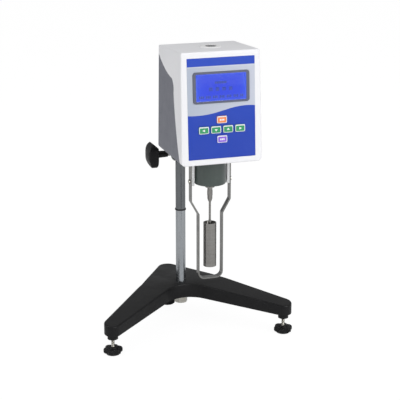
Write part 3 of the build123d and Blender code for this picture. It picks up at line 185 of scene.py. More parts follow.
def group_moulded_grain():
    """Spark-eroded grain of moulded plastic and of stoved paint: cells of a set size over soft waves."""
    tree, start, end = new_group(
        "moulded grain",
        [("Size", "NodeSocketFloat", 900.0)],
        [("Height", "NodeSocketFloat"), ("Tone", "NodeSocketFloat")],
    )
    place = add(tree, "ShaderNodeTexCoord").outputs["Object"]
    cells = add(tree, "ShaderNodeTexVoronoi", {
        "Vector": place, "Scale": start.outputs["Size"],
    }, feature="SMOOTH_F1")
    waves = noise(tree, place, 160.0, 2.0)
    height = math_node(tree, "MULTIPLY", cells.outputs["Distance"], 0.75)
    height = math_node(tree, "ADD", height, math_node(tree, "MULTIPLY", waves, 0.5))
    tree.links.new(height, end.inputs["Height"])
    tree.links.new(noise(tree, place, 45.0, 4.0), end.inputs["Tone"])
    return tree


def group_handling():
    """Smudges and hair scratches from handling, as one mask."""
    tree, start, end = new_group(
        "handling",
        [("Smudge Scale", "NodeSocketFloat", 38.0), ("Scratch Scale", "NodeSocketFloat", 90.0)],
        [("Smudges", "NodeSocketFloat"), ("Scratches", "NodeSocketFloat")],
    )
    place = add(tree, "ShaderNodeTexCoord").outputs["Object"]
    large = add(tree, "ShaderNodeTexNoise", {
        "Vector": place, "Scale": start.outputs["Smudge Scale"],
        "Detail": 5.0, "Roughness": 0.6, "Distortion": 0.6,
    }).outputs["Fac"]
    tree.links.new(spread(tree, large, 0.42, 0.68), end.inputs["Smudges"])
    lines = None
    for lean_angle in (0.5, -0.9):
        tilted = add(tree, "ShaderNodeMapping", {
            "Vector": place,
            "Rotation": (lean_angle, lean_angle * 0.7, lean_angle * 1.3),
            "Scale": (9.0, 0.35, 9.0),
        }).outputs[0]
        hair = add(tree, "ShaderNodeTexNoise", {
            "Vector": tilted, "Scale": start.outputs["Scratch Scale"], "Detail": 2.0, "Roughness": 0.5,
        }).outputs["Fac"]
        hair = spread(tree, hair, 0.665, 0.7)
        lines = hair if lines is None else math_node(tree, "MAXIMUM", lines, hair)
    tree.links.new(lines, end.inputs["Scratches"])
    return tree


def group_dust():
    """Thin dust on faces that look upwards, in uneven patches."""
    tree, start, end = new_group(
        "dust", [("Patch Scale", "NodeSocketFloat", 60.0)], [("Dust", "NodeSocketFloat")],
    )
    normal = add(tree, "ShaderNodeNewGeometry").outputs["Normal"]
    upward = add(tree, "ShaderNodeSeparateXYZ", {0: normal}).outputs["Z"]
    upward = spread(tree, upward, 0.55, 1.0)
    place = add(tree, "ShaderNodeTexCoord").outputs["Object"]
    patch = add(tree, "ShaderNodeTexNoise", {
        "Vector": place, "Scale": start.outputs["Patch Scale"], "Detail": 6.0, "Roughness": 0.65,
    }).outputs["Fac"]
    tree.links.new(math_node(tree, "MULTIPLY", upward, spread(tree, patch, 0.35, 0.75)), end.inputs["Dust"])
    return tree


def group_edge_rub():
    """Mask of outer edges: where a bevelled normal departs from the face's own, broken up by noise."""
    tree, start, end = new_group(
        "edge rub", [("Width", "NodeSocketFloat", 0.6 * mm)], [("Rub", "NodeSocketFloat")],
    )
    soft = add(tree, "ShaderNodeBevel", {"Radius": start.outputs["Width"]}, samples=4).outputs[0]
    sharp = add(tree, "ShaderNodeNewGeometry").outputs["Normal"]
    facing = add(tree, "ShaderNodeVectorMath", {0: soft, 1: sharp}, operation="DOT_PRODUCT").outputs["Value"]
    edge = spread(tree, facing, 0.995, 0.9)
    place = add(tree, "ShaderNodeTexCoord").outputs["Object"]
    broken = spread(tree, noise(tree, place, 220.0, 5.0, 0.7), 0.42, 0.62)
    tree.links.new(math_node(tree, "MULTIPLY", edge, broken), end.inputs["Rub"])
    return tree


def group_tool_lines():
    """Fine lines left by turning, grinding or brushing: noise drawn out along chosen axes."""
    tree, start, end = new_group(
        "tool lines",
        [("Stretch", "NodeSocketVector", (1.0, 1.0, 1.0))],
        [("Height", "NodeSocketFloat"), ("Bands", "NodeSocketFloat")],
    )
    place = add(tree, "ShaderNodeTexCoord").outputs["Object"]
    drawn = add(tree, "ShaderNodeVectorMath", {
        0: place, 1: start.outputs["Stretch"],
    }, operation="MULTIPLY").outputs[0]
    fine = noise(tree, drawn, 1.0, 4.0, 0.7)
    wide = noise(tree, drawn, 0.13, 2.0, 0.5)
    tree.links.new(fine, end.inputs["Height"])
    tree.links.new(spread(tree, wide, 0.3, 0.7), end.inputs["Bands"])
    return tree


grain = group_moulded_grain()
handling = group_handling()
dust = group_dust()
edge_rub = group_edge_rub()
tool_lines = group_tool_lines()


def use(tree, group, **values):
    """Places a node group; underscores in names stand for spaces."""
    node = tree.nodes.new("ShaderNodeGroup")
    node.node_tree = group
    for key, value in values.items():
        node.inputs[key.replace("_", " ")].default_value = value
    return node.outputs


def opaque(colour):
    """Colour with full alpha."""
    return (colour[0], colour[1], colour[2], 1.0)


def start_material(name, **constants):
    """New material with its Principled shader, whose plain values are set on its own sockets."""
    material = bpy.data.materials.new(name)
    material.use_nodes = True
    shader = material.node_tree.nodes["Principled BSDF"]
    for key, value in constants.items():
        shader.inputs[key.replace("_", " ")].default_value = value
    return material, material.node_tree, shader


def bump(tree, shader, height, depth):
    """Feeds a height from 0 to 1, times a depth in metres, to the shader's normal."""
    node = add(tree, "ShaderNodeBump", {"Height": height, "Distance": depth, "Strength": 1.0})
    tree.links.new(node.outputs[0], shader.inputs["Normal"])


def shared(tree, shares, tone, toward):
    """Moves a colour toward another by the product of two shares."""
    return blend_colours(tree, math_node(tree, "MULTIPLY", *shares), tone, toward)


def plastic(name, colour, rough, grain_size, grain_depth, dusty, rub, variation, coat=0.0, ior=1.5):
    """Moulded plastic: grain, faint colour drift, handling marks, pale rubbed edges and dust."""
    material, tree, shader = start_material(name, Coat_Weight=coat, Coat_Roughness=0.12, IOR=ior)
    grain_out = use(tree, grain, Size=grain_size)
    marks = use(tree, handling)
    edges = use(tree, edge_rub)
    settled = use(tree, dust)
    deep = opaque([c * (1 - variation) for c in colour])
    light = opaque([min(1.0, c * (1 + variation) + 0.004) for c in colour])
    tone = blend_colours(tree, grain_out["Tone"], deep, light)
    rubbed = opaque([min(1.0, c * 1.35 + 0.03) for c in colour])
    tone = shared(tree, (edges["Rub"], rub), tone, rubbed)
    tone = shared(tree, (settled["Dust"], dusty), tone, (0.55, 0.53, 0.5, 1.0))
    tree.links.new(tone, shader.inputs["Base Color"])
    gloss = spread(tree, marks["Smudges"], 0.0, 1.0, rough, min(1.0, rough + 0.1))
    gloss = math_node(tree, "ADD", gloss, math_node(tree, "MULTIPLY", marks["Scratches"], 0.08))
    gloss = math_node(tree, "ADD", gloss, math_node(tree, "MULTIPLY", settled["Dust"], 0.15))
    tree.links.new(gloss, shader.inputs["Roughness"])
    bump(tree, shader, grain_out["Height"], grain_depth)
    return material


def metal(name, colour, rough, stretch, line_depth, tint=(0.9, 0.95, 1.0)):
    """Bare or plated metal: tool lines, tonal bands, smudges and hair scratches."""
    material, tree, shader = start_material(name, Metallic=1.0)
    lines = use(tree, tool_lines, Stretch=stretch)
    marks = use(tree, handling, Smudge_Scale=60.0, Scratch_Scale=140.0)
    settled = use(tree, dust)
    deep = opaque([c * 0.82 * t for c, t in zip(colour, tint)])
    tone = blend_colours(tree, lines["Bands"], deep, opaque(colour))
    smudged = opaque([c * 0.7 for c in colour])
    tone = shared(tree, (marks["Smudges"], 0.3), tone, smudged)
    tone = shared(tree, (settled["Dust"], 0.03), tone, (0.4, 0.39, 0.37, 1.0))
    tree.links.new(tone, shader.inputs["Base Color"])
    gloss = spread(tree, lines["Height"], 0.25, 0.75, rough * 0.8, rough * 1.25)
    gloss = math_node(tree, "ADD", gloss, math_node(tree, "MULTIPLY", marks["Smudges"], 0.1))
    gloss = math_node(tree, "ADD", gloss, math_node(tree, "MULTIPLY", marks["Scratches"], 0.12))
    tree.links.new(gloss, shader.inputs["Roughness"])
    scratched = math_node(tree, "MULTIPLY", marks["Scratches"], 0.6)
    height = math_node(tree, "SUBTRACT", lines["Height"], scratched)
    bump(tree, shader, height, line_depth)
    return material


def casting_paint(name, colour, rough, pit_depth, coat, ior):
    """Satin paint on a sand casting: orange peel over its pits, primer at rubbed edges, a little dust."""
    material, tree, shader = start_material(name, Coat_Weight=coat, Coat_Roughness=0.2, IOR=ior)
    grain_out = use(tree, grain, Size=420.0)
    marks = use(tree, handling, Smudge_Scale=22.0, Scratch_Scale=70.0)
    edges = use(tree, edge_rub, Width=1.2 * mm)
    settled = use(tree, dust, Patch_Scale=30.0)
    deep = opaque([c * 0.8 for c in colour])
    light = opaque([c * 1.35 + 0.003 for c in colour])
    tone = blend_colours(tree, grain_out["Tone"], deep, light)
    rubbed = opaque([c * 2.2 + 0.03 for c in colour])
    tone = shared(tree, (edges["Rub"], 0.35), tone, rubbed)
    tone = shared(tree, (settled["Dust"], 0.02), tone, (0.3, 0.29, 0.28, 1.0))
    tree.links.new(tone, shader.inputs["Base Color"])
    gloss = spread(tree, marks["Smudges"], 0.0, 1.0, rough, rough + 0.12)
    gloss = math_node(tree, "ADD", gloss, math_node(tree, "MULTIPLY", settled["Dust"], 0.15))
    tree.links.new(gloss, shader.inputs["Roughness"])
    place = add(tree, "ShaderNodeTexCoord").outputs["Object"]
    swell = noise(tree, place, 70.0, 3.0)
    height = math_node(tree, "ADD", math_node(tree, "MULTIPLY", grain_out["Height"], 0.35), swell)
    bump(tree, shader, height, pit_depth)
    return material


def ramp_curve(tree, value, points):
    """Smooth curve through named points, from a value to a value, both from 0 to 1."""
    node = add(tree, "ShaderNodeFloatCurve", {"Value": value})
    curve = node.mapping.curves[0]
    curve.points[0].location = points[0]
    curve.points[1].location = points[-1]
    for point in points[1:-1]:
        curve.points.new(*point)
    node.mapping.update()
    return node.outputs[0]


def printed_panel():
    """Film over the front panel: blue head strip and blue field, with a silver wave between them."""
    material, tree, shader = start_material(
        "printed panel film", Coat_Weight=0.1, Coat_Roughness=0.1, IOR=1.4,
    )
    low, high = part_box("front_panel")
    height = high[2] - low[2]
    place = add(tree, "ShaderNodeTexCoord").outputs["Object"]
    parts = add(tree, "ShaderNodeSeparateXYZ", {0: place})
    across = spread(tree, parts.outputs["X"], low[0], high[0])
    up = math_node(tree, "DIVIDE", math_node(tree, "SUBTRACT", parts.outputs["Z"], low[2]), height)
    strip_start = 1 - strip_height / height
    wave = ramp_curve(tree, across, [
        (0.0, 0.442), (0.19, 0.440), (0.36, 0.452), (0.52, 0.476), (0.7, 0.503), (0.86, 0.513), (1.0, 0.508),
    ])
    soft = 0.0016
    above_wave = spread(tree, math_node(tree, "SUBTRACT", up, wave), -soft, soft)
    under_strip = spread(tree, up, strip_start + soft, strip_start - soft)
    silver_share = math_node(tree, "MULTIPLY", above_wave, under_strip)
    speckle = noise(tree, place, 2600.0, 2.0)
    drift = noise(tree, place, 14.0, 2.0)
    silver_left = (0.37, 0.42, 0.51, 1.0)
    silver_right = (0.50, 0.53, 0.62, 1.0)
    silver = blend_colours(tree, across, silver_left, silver_right)
    silver = shared(tree, (speckle, 0.25), silver, (0.66, 0.68, 0.74, 1.0))
    blue_low = (0.004, 0.036, 0.36, 1.0)
    blue_high = (0.008, 0.060, 0.50, 1.0)
    lift = math_node(tree, "MULTIPLY", up, 0.5)
    lift = math_node(tree, "ADD", math_node(tree, "MULTIPLY", drift, 0.4), lift)
    blue = blend_colours(tree, lift, blue_low, blue_high)
    tree.links.new(blend_colours(tree, silver_share, blue, silver), shader.inputs["Base Color"])
    marks = use(tree, handling, Smudge_Scale=30.0, Scratch_Scale=110.0)
    gloss = spread(tree, marks["Smudges"], 0.0, 1.0, 0.3, 0.42)
    gloss = math_node(tree, "ADD", gloss, math_node(tree, "MULTIPLY", marks["Scratches"], 0.06))
    tree.links.new(gloss, shader.inputs["Roughness"])
    grain_out = use(tree, grain, Size=1500.0)
    bump(tree, shader, grain_out["Height"], 0.015 * mm)
    return material


def lit_screen():
    """Backlit display: blue light, stronger towards the edges, broken by a fine pixel grid."""
    material, tree, shader = start_material("lit screen", Roughness=0.35, Emission_Strength=0.85)
    low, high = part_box("lcd_window")
    place = add(tree, "ShaderNodeTexCoord").outputs["Object"]
    parts = add(tree, "ShaderNodeSeparateXYZ", {0: place})
    across = spread(tree, parts.outputs["X"], low[0], high[0], -1.0, 1.0)
    up = spread(tree, parts.outputs["Z"], low[2], high[2], -1.0, 1.0)
    side = math_node(tree, "POWER", math_node(tree, "ABSOLUTE", across), 8.0)
    ends = math_node(tree, "POWER", math_node(tree, "ABSOLUTE", up), 9.0)
    glow = math_node(tree, "MAXIMUM", side, ends)
    pitch = turn / (0.55 * mm)
    grid_x = math_node(tree, "SINE", math_node(tree, "MULTIPLY", parts.outputs["X"], pitch))
    grid_z = math_node(tree, "SINE", math_node(tree, "MULTIPLY", parts.outputs["Z"], pitch))
    grid = spread(tree, math_node(tree, "MAXIMUM", grid_x, grid_z), 0.8, 1.0, 1.0, 0.86)
    light = blend_colours(tree, glow, (0.012, 0.050, 0.78, 1.0), (0.040, 0.12, 0.90, 1.0))
    dim = add(tree, "ShaderNodeMix", {}, data_type="RGBA", blend_type="MULTIPLY")
    dim.inputs[0].default_value = 1.0
    tree.links.new(light, dim.inputs[6])
    tree.links.new(grid, dim.inputs[7])
    tree.links.new(dim.outputs[2], shader.inputs["Emission Color"])
    shader.inputs["Base Color"].default_value = (0.004, 0.016, 0.12, 1.0)
    return material


def clear_glass(name, colour, rough, ior=1.46):
    """Clear part: coloured glass with faint smears in its gloss."""
    material, tree, shader = start_material(name, Transmission_Weight=1.0, IOR=ior)
    shader.inputs["Base Color"].default_value = opaque(colour)
    marks = use(tree, handling, Smudge_Scale=45.0)
    tree.links.new(spread(tree, marks["Smudges"], 0.0, 1.0, rough, rough + 0.06), shader.inputs["Roughness"])
    return material


def rubber(name):
    """Black rubber with a dull bloom."""
    material, tree, shader = start_material(name, IOR=1.5)
    grain_out = use(tree, grain, Size=700.0)
    tree.links.new(
        blend_colours(tree, grain_out["Tone"], (0.012, 0.012, 0.012, 1.0), (0.035, 0.034, 0.033, 1.0)),
        shader.inputs["Base Color"],
    )
    tree.links.new(spread(tree, grain_out["Tone"], 0.3, 0.7, 0.65, 0.85), shader.inputs["Roughness"])
    bump(tree, shader, grain_out["Height"], 0.08 * mm)
    return material


def circuit_board(name):
    """Green lacquered board with faint tracks."""
    material, tree, shader = start_material(name, Coat_Weight=0.5, Coat_Roughness=0.1)
    place = add(tree, "ShaderNodeTexCoord").outputs["Object"]
    tracks = add(tree, "ShaderNodeTexBrick", {"Vector": place, "Scale": 320.0, "Mortar Size": 0.06})
    tracks.inputs["Color1"].default_value = (0.008, 0.11, 0.035, 1.0)
    tracks.inputs["Color2"].default_value = (0.012, 0.14, 0.045, 1.0)
    tracks.inputs["Mortar"].default_value = (0.03, 0.24, 0.07, 1.0)
    tree.links.new(tracks.outputs["Color"], shader.inputs["Base Color"])
    tree.links.new(spread(tree, noise(tree, place, 300.0), 0.3, 0.7, 0.28, 0.42), shader.inputs["Roughness"])
    bump(tree, shader, tracks.outputs["Fac"], 0.03 * mm)
    return material


# Tool lines: how closely the noise is packed along X, Y and Z
along_rod = (700.0, 700.0, 3.0)
along_strip = (1400.0, 1400.0, 40.0)
fine_turning = (20.0, 20.0, 5200.0)
turning = (20.0, 20.0, 3000.0)
milling = (60.0, 2600.0, 60.0)
plating = (700.0, 700.0, 700.0)
oxide = (1200.0, 1200.0, 1200.0)
no_tint = (1.0, 1.0, 1.0)

key_cap = {
    "rough": 0.36, "grain_size": 1500.0, "grain_depth": 0.01 * mm, "coat": 0.2, "dusty": 0.0, "rub": 0.2,
    "variation": 0.05,
}
ink = {"grain_size": 1500.0, "grain_depth": 0.01 * mm, "dusty": 0.0, "rub": 0.0, "variation": 0.02}

plastics = {
    "cover white": {
        "colour": (0.80, 0.80, 0.82), "rough": 0.38, "grain_size": 1100.0, "grain_depth": 0.02 * mm,
        "coat": 0.1, "dusty": 0.02, "rub": 0.0, "variation": 0.012,
    },
    "cover grey": {
        "colour": (0.150, 0.155, 0.185), "rough": 0.5, "grain_size": 1000.0, "grain_depth": 0.03 * mm,
        "dusty": 0.06, "rub": 0.1, "variation": 0.05,
    },
    "black knob": {
        "colour": (0.006, 0.006, 0.0065), "rough": 0.4, "grain_size": 800.0, "grain_depth": 0.03 * mm,
        "dusty": 0.01, "rub": 0.25, "variation": 0.3, "ior": 1.28,
    },
    "rear black": {
        "colour": (0.016, 0.016, 0.017), "rough": 0.4, "grain_size": 1000.0, "grain_depth": 0.02 * mm,
        "dusty": 0.08, "rub": 0.2, "variation": 0.2,
    },
    "bezel grey": {
        "colour": (0.085, 0.095, 0.145), "rough": 0.32, "grain_size": 1400.0, "grain_depth": 0.01 * mm,
        "coat": 0.2, "dusty": 0.02, "rub": 0.1, "variation": 0.06,
    },
    "level white": {
        "colour": (0.82, 0.82, 0.82), "rough": 0.3, "grain_size": 1200.0, "grain_depth": 0.01 * mm,
        "coat": 0.3, "dusty": 0.02, "rub": 0.0, "variation": 0.01,
    },
    "key orange": {"colour": (0.82, 0.22, 0.055), **key_cap},
    "key green": {"colour": (0.008, 0.28, 0.10), **key_cap},
    "key purple": {"colour": (0.24, 0.10, 0.66), **key_cap},
    "print white": {"colour": (0.80, 0.82, 0.84), "rough": 0.4, **ink},
    "print dim": {"colour": (0.05, 0.085, 0.22), "rough": 0.5, **ink},
    "print silver": {"colour": (0.60, 0.62, 0.68), "rough": 0.4, **ink},
}

# Metals: colour, roughness, direction of the tool lines, their depth, and the tint of the darker bands
metals = {
    "column lower": ((0.44, 0.45, 0.46), 0.2, along_rod, 0.0012 * mm),
    # The upper column's steel is a darker copy of the lower column's: painted shade under the head's
    # housing.
    "column upper painted shade": ((0.19, 0.195, 0.20), 0.17, along_rod, 0.0012 * mm),
    "turned steel": ((0.30, 0.295, 0.285), 0.2, fine_turning, 0.003 * mm, (1.0, 0.98, 0.95)),
    "guard steel": ((0.24, 0.24, 0.235), 0.26, along_strip, 0.008 * mm, (1.0, 0.98, 0.95)),
    "ear steel": ((0.66, 0.67, 0.67), 0.36, along_strip, 0.008 * mm, no_tint),
    "black steel": ((0.05, 0.05, 0.055), 0.35, oxide, 0.006 * mm, no_tint),
    "nickel plate": ((0.55, 0.54, 0.50), 0.22, plating, 0.006 * mm, (1.0, 0.98, 0.93)),
    "milled aluminium": ((0.60, 0.61, 0.62), 0.34, milling, 0.01 * mm),
    "bronze": ((0.50, 0.33, 0.13), 0.3, turning, 0.008 * mm, (1.0, 0.9, 0.75)),
    "brass": ((0.62, 0.46, 0.18), 0.25, turning, 0.008 * mm, (1.0, 0.92, 0.75)),
}

materials = {name: plastic(name, **values) for name, values in plastics.items()}
materials.update({name: metal(name, *values) for name, values in metals.items()})
materials.update({
    "base paint": casting_paint("base paint", (0.005, 0.005, 0.0055), 0.36, 0.12 * mm, 0.0, 1.3),
    "arm paint": casting_paint("arm paint", (0.040, 0.056, 0.050), 0.28, 0.03 * mm, 0.25, 1.5),
    "panel film": printed_panel(),
    "screen light": lit_screen(),
    "screen glass": clear_glass("screen glass", (0.95, 0.97, 1.0), 0.02),
    "level glass": clear_glass("level glass", (0.95, 0.98, 0.98), 0.01),
    # The level liquid's near-black tint is painted reflection: it stands in for the dark that the level's
    # glass reflects.
    "level liquid painted reflection": clear_glass("level liquid painted reflection", (0.02, 0.03, 0.015), 0.0, 1.36),
    "foot rubber": rubber("foot rubber"),
    "circuit board": circuit_board("circuit board"),
})

finishes = {
    "base paint": ["base_casting"],
    "column lower": ["column_lower"],
    "column upper painted shade": ["column_upper"],
    "black steel": ["column_ring", "shaft_collar", "tension_screw", "hairspring"],
    "black knob": ["column_cap", "lift_knob", "foot_knob_left", "foot_knob_right", "foot_knob_rear"],
    "nickel plate": ["column_nut", "guard_screws", "drive_motor", "cover_screws", "data_port"],
    "arm paint": ["carriage_arm", "spindle_cup"],
    "bronze": ["guide_bushes"],
    "turned steel": ["pinion_shaft", "spindle", "spindle_coupling", "main_shaft"],
    "guard steel": ["spindle_guard"],
    "ear steel": ["guard_ears"],
    "milled aluminium": [
        "pivot_plate", "floor_plate", "upper_plate", "drive_disc", "shaft_disc", "sensor_brackets",
    ],
    "brass": ["shaft_bearings", "floor_posts", "motor_pinion", "drive_gear"],
    "rear black": ["sensor_forks", "switch_frame", "power_rocker", "power_inlet"],
    "circuit board": ["main_board", "key_board"],
    "cover white": ["front_cover"],
    "cover grey": ["rear_cover"],
    "panel film": ["front_panel"],
    "bezel grey": ["lcd_bezel"],
    "screen glass": ["lcd_window"],
    "screen light": ["lcd_module"],
    "level white": ["level_ring"],
    "level glass": ["level_glass"],
    "level liquid painted reflection": ["level_liquid"],
    "foot rubber": ["foot_pad_left", "foot_pad_right", "foot_pad_rear"],
    "key orange": ["key_run"],
    "key green": ["key_left", "key_down", "key_up", "key_right"],
    "key purple": ["key_back"],
}


def shade_smoothly(piece):
    """Round faces shade smoothly and edges stay crisp: doubled points join, then sharp edges part."""
    piece.data.polygons.foreach_set("use_smooth", np.ones(len(piece.data.polygons), dtype=bool))
    joined = piece.modifiers.new("joined points", "WELD")
    joined.merge_threshold = join_distance
    parted = piece.modifiers.new("crisp edges", "EDGE_SPLIT")
    parted.split_angle = crisp_angle


def dress_nodes():
    """Gives every solid its finish, and shades its curved faces smoothly."""
    for finish, nodes in finishes.items():
        for node in nodes:
            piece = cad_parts[node]
            piece.data.materials.clear()
            piece.data.materials.append(materials[finish])
            shade_smoothly(piece)


def grid_mesh(name, grid, start_point=None, end_point=None):
    """Mesh of a grid of points, rows by columns, closed around each row, and at poles if given."""
    rows, columns = grid.shape[:2]
    points = grid.reshape(-1, 3)
    row = np.arange(rows - 1)[:, None]
    column = np.arange(columns)[None, :]
    following = (column + 1) % columns
    quads = np.stack([
        row * columns + column,
        row * columns + following,
        (row + 1) * columns + following,
        (row + 1) * columns + column,
    ], axis=-1).reshape(-1, 4)
    faces = quads.tolist()
    ring = np.arange(columns)
    after = (ring + 1) % columns
    if start_point is not None:
        pole = len(points)
        points = np.vstack([points, start_point])
        faces += np.stack([after, ring, np.full(columns, pole)], axis=-1).tolist()
    if end_point is not None:
        pole = len(points)
        points = np.vstack([points, end_point])
        last = (rows - 1) * columns
        faces += np.stack([last + ring, last + after, np.full(columns, pole)], axis=-1).tolist()
    mesh = bpy.data.meshes.new(name)
    mesh.from_pydata(points.tolist(), [], faces)
    mesh.update()
    return mesh


def add_piece(name, mesh, material, body, smooth_angle=35.0):
    """Links a mesh as a piece that rides on a body."""
    piece = bpy.data.objects.new(name, mesh)
    bpy.context.scene.collection.objects.link(piece)
    mesh.materials.append(materials[material])
    mesh.polygons.foreach_set("use_smooth", np.ones(len(mesh.polygons), dtype=bool))
    mesh.set_sharp_from_angle(angle=math.radians(smooth_angle))
    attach(piece, body)
    return piece


def build_stage():
    """Plain pale floor, soft light and the camera."""
    floor_mesh = bpy.data.meshes.new("floor")
    reach = 14.0
    corners = [(-reach, -reach, 0), (reach, -reach, 0), (reach, reach, 0), (-reach, reach, 0)]
    floor_mesh.from_pydata(corners, [], [(0, 1, 2, 3)])
    floor = bpy.data.objects.new("floor", floor_mesh)
    bpy.context.scene.collection.objects.link(floor)
    floor_mesh.materials.append(floor_material())
    build_world()
    soft_box("key light", (0.9, -2.2, 1.2), 1.4, 31.0)
    soft_box("left light", (-2.2, -0.6, 1.0), 0.9, 12.0)
    soft_box("top light", (0.1, -0.2, 2.6), 1.6, 7.0)
    camera_data = bpy.data.cameras.new("camera")
    camera_data.lens = camera_lens
    camera_data.sensor_width = 36.0
    camera_data.clip_start = 0.05
    camera = bpy.data.objects.new("camera", camera_data)
    camera.location = camera_place
    camera.rotation_euler = (camera_pitch, 0.0, camera_yaw)
    bpy.context.scene.collection.objects.link(camera)
    bpy.context.scene.camera = camera
    bpy.context.scene.view_settings.view_transform = "Standard"


def floor_material():
    """Pale floor that looks white to the camera and still takes the object's shadow."""
    material = bpy.data.materials.new("studio floor")
    material.use_nodes = True
    tree = material.node_tree
    tree.nodes.clear()
    place = add(tree, "ShaderNodeTexCoord").outputs["Object"]
    paper = blend_colours(tree, noise(tree, place, 3.0), (0.86, 0.86, 0.86, 1.0), (0.89, 0.89, 0.89, 1.0))
    body = add(tree, "ShaderNodeBsdfDiffuse", {"Color": paper})
    glow = add(tree, "ShaderNodeEmission", {"Color": (1.0, 1.0, 1.0, 1.0), "Strength": 1.05})
    path = add(tree, "ShaderNodeLightPath")
    seen = math_node(tree, "MAXIMUM", path.outputs["Is Camera Ray"], path.outputs["Is Transmission Ray"])
    share = math_node(tree, "MULTIPLY", seen, 0.9)
    mixed = add(tree, "ShaderNodeMixShader", {0: share, 1: body.outputs[0], 2: glow.outputs[0]})
    out = add(tree, "ShaderNodeOutputMaterial")
    tree.links.new(mixed.outputs[0], out.inputs["Surface"])
    return material


def build_world():
    """White to the camera and through glass; otherwise a soft sky, brighter above than at the horizon."""
    world = bpy.data.worlds.new("studio")
    bpy.context.scene.world = world
    world.use_nodes = True
    tree = world.node_tree
    tree.nodes.clear()
    direction = add(tree, "ShaderNodeTexCoord").outputs["Generated"]
    height = add(tree, "ShaderNodeSeparateXYZ", {0: direction}).outputs["Z"]
    rise = spread(tree, height, -0.2, 0.9)
    sky = blend_colours(tree, rise, (0.28, 0.29, 0.31, 1.0), (0.86, 0.86, 0.86, 1.0))
    dim = add(tree, "ShaderNodeBackground", {"Color": sky, "Strength": 0.75})
    white = add(tree, "ShaderNodeBackground", {"Color": (1.0, 1.0, 1.0, 1.0), "Strength": 1.0})
    path = add(tree, "ShaderNodeLightPath")
    seen = math_node(tree, "MAXIMUM", path.outputs["Is Camera Ray"], path.outputs["Is Transmission Ray"])
    mixed = add(tree, "ShaderNodeMixShader", {0: seen, 1: dim.outputs[0], 2: white.outputs[0]})
    out = add(tree, "ShaderNodeOutputWorld")
    tree.links.new(mixed.outputs[0], out.inputs["Surface"])


def soft_box(name, place, size, power):
    """Square soft light that looks at the middle of the object."""
    light = bpy.data.lights.new(name, "AREA")
    light.size = size
    light.energy = power
    lamp = bpy.data.objects.new(name, light)
    aim = np.array((cad_low + cad_high) / 2) - np.array(place)
    flat = math.hypot(aim[0], aim[1])
    lamp.location = place
    pitch = turn / 4 + math.atan2(aim[2], flat)
    yaw = math.atan2(aim[1], aim[0]) - turn / 4
    lamp.rotation_euler = (pitch, 0.0, yaw)
    bpy.context.scene.collection.objects.link(lamp)


# Fine pieces on the front face

def face_points(x, up, out):
    """Points on the leaning front: across, up along it from its lower edge, and out of it, in metres."""
    y = face_front + math.sin(head_lean) * up - math.cos(head_lean) * out
    z = face_bottom + math.cos(head_lean) * up + math.sin(head_lean) * out
    return np.stack(np.broadcast_arrays(x, y, z), axis=-1)


def rounded_outline(width, height, corner, steps=6):
    """Rounded rectangle as points: four quarter circles of the corner radius, one in each corner."""
    angle = np.concatenate([np.linspace(k * turn / 4, (k + 1) * turn / 4, steps) for k in range(4)])
    side_x = np.repeat([1, -1, -1, 1], steps)
    side_y = np.repeat([1, 1, -1, -1], steps)
    x = side_x * (width / 2 - corner) + corner * np.cos(angle)
    y = side_y * (height / 2 - corner) + corner * np.sin(angle)
    return np.stack([x, y], axis=-1)


def plate_mesh(name, outlines, low, high):
    """Thin plates on the front face: each outline is carried from one height out of it to another."""
    points, faces = [], []
    for outline in outlines:
        count = len(outline)
        start = sum(len(p) for p in points)
        for out in (low, high):
            points.append(face_points(outline[:, 0], outline[:, 1], out))
        ring = start + np.arange(count)
        after = np.roll(ring, -1)
        faces += np.stack([ring, after, after + count, ring + count], axis=-1).tolist()
        faces.append((ring[::-1]).tolist())
        faces.append((ring + count).tolist())
    mesh = bpy.data.meshes.new(name)
    mesh.from_pydata(np.vstack(points).tolist(), [], faces)
    mesh.update()
    return mesh


def frame_mesh(name, centre, outer, inner, low, high):
    """Raised frame on the front face: a square band carried round between two rounded outlines."""
    rows = [(outer, low), (outer, high), (inner, high), (inner, low), (outer, low)]
    grid = np.stack([
        face_points(line[:, 0] + centre[0], line[:, 1] + centre[1], out) for line, out in rows
    ])
    return grid_mesh(name, grid)


def bar(x, up, width, height):
    """Upright rectangle as four points."""
    w, h = width / 2, height / 2
    return np.array([(x - w, up - h), (x + w, up - h), (x + w, up + h), (x - w, up + h)])


def arrow(x, up, angle):
    """Triangle with its point turned by an angle from rightwards."""
    corners = angle + np.arange(3) * turn / 3
    across = x + arrow_stretch * arrow_reach * np.cos(corners)
    return np.stack([across, up + arrow_reach * np.sin(corners)], axis=-1)


key_places = {
    "run": (0.0, 61.9, "key orange"),
    "left": (-25.95, 48.5, "key green"),
    "down": (-8.65, 48.5, "key green"),
    "up": (8.65, 48.5, "key green"),
    "right": (25.95, 48.5, "key green"),
    "back": (0.0, 35.1, "key purple"),
}
arrow_turns = {"left": turn / 2, "down": 3 * turn / 4, "up": turn / 4, "right": 0.0}


def build_key_marks():
    """White rims and bare marks on the six keys; each rides with its key."""
    outer = rounded_outline(*rim_outer)
    inner = rounded_outline(*rim_inner)
    inner[:, 1] -= rim_shift
    for name, (x, up, finish) in key_places.items():
        x, up = x * mm, up * mm
        rim = frame_mesh("rim_" + name, (x, up), outer, inner, rim_foot, rim_top)
        add_piece("rim_" + name, rim, "print white", name + "_key")
        if name in arrow_turns:
            outlines = [arrow(x, up - mark_shift, arrow_turns[name])]
        else:
            outlines = [bar(x + k * mark_pitch, up - mark_shift, *mark_bar) for k in (-1, 0, 1)]
        marks = plate_mesh("mark_" + name, outlines, mark_foot, mark_top)
        add_piece("mark_" + name, marks, "print white", name + "_key")


def row_of_bars(first, pitch, steps, up, width, height):
    """Equal bars on the display, at whole steps of a pitch from the first, in millimetres."""
    return [
        bar((first + pitch * k) * mm, screen_middle + up * mm, width * mm, height * mm) for k in steps
    ]


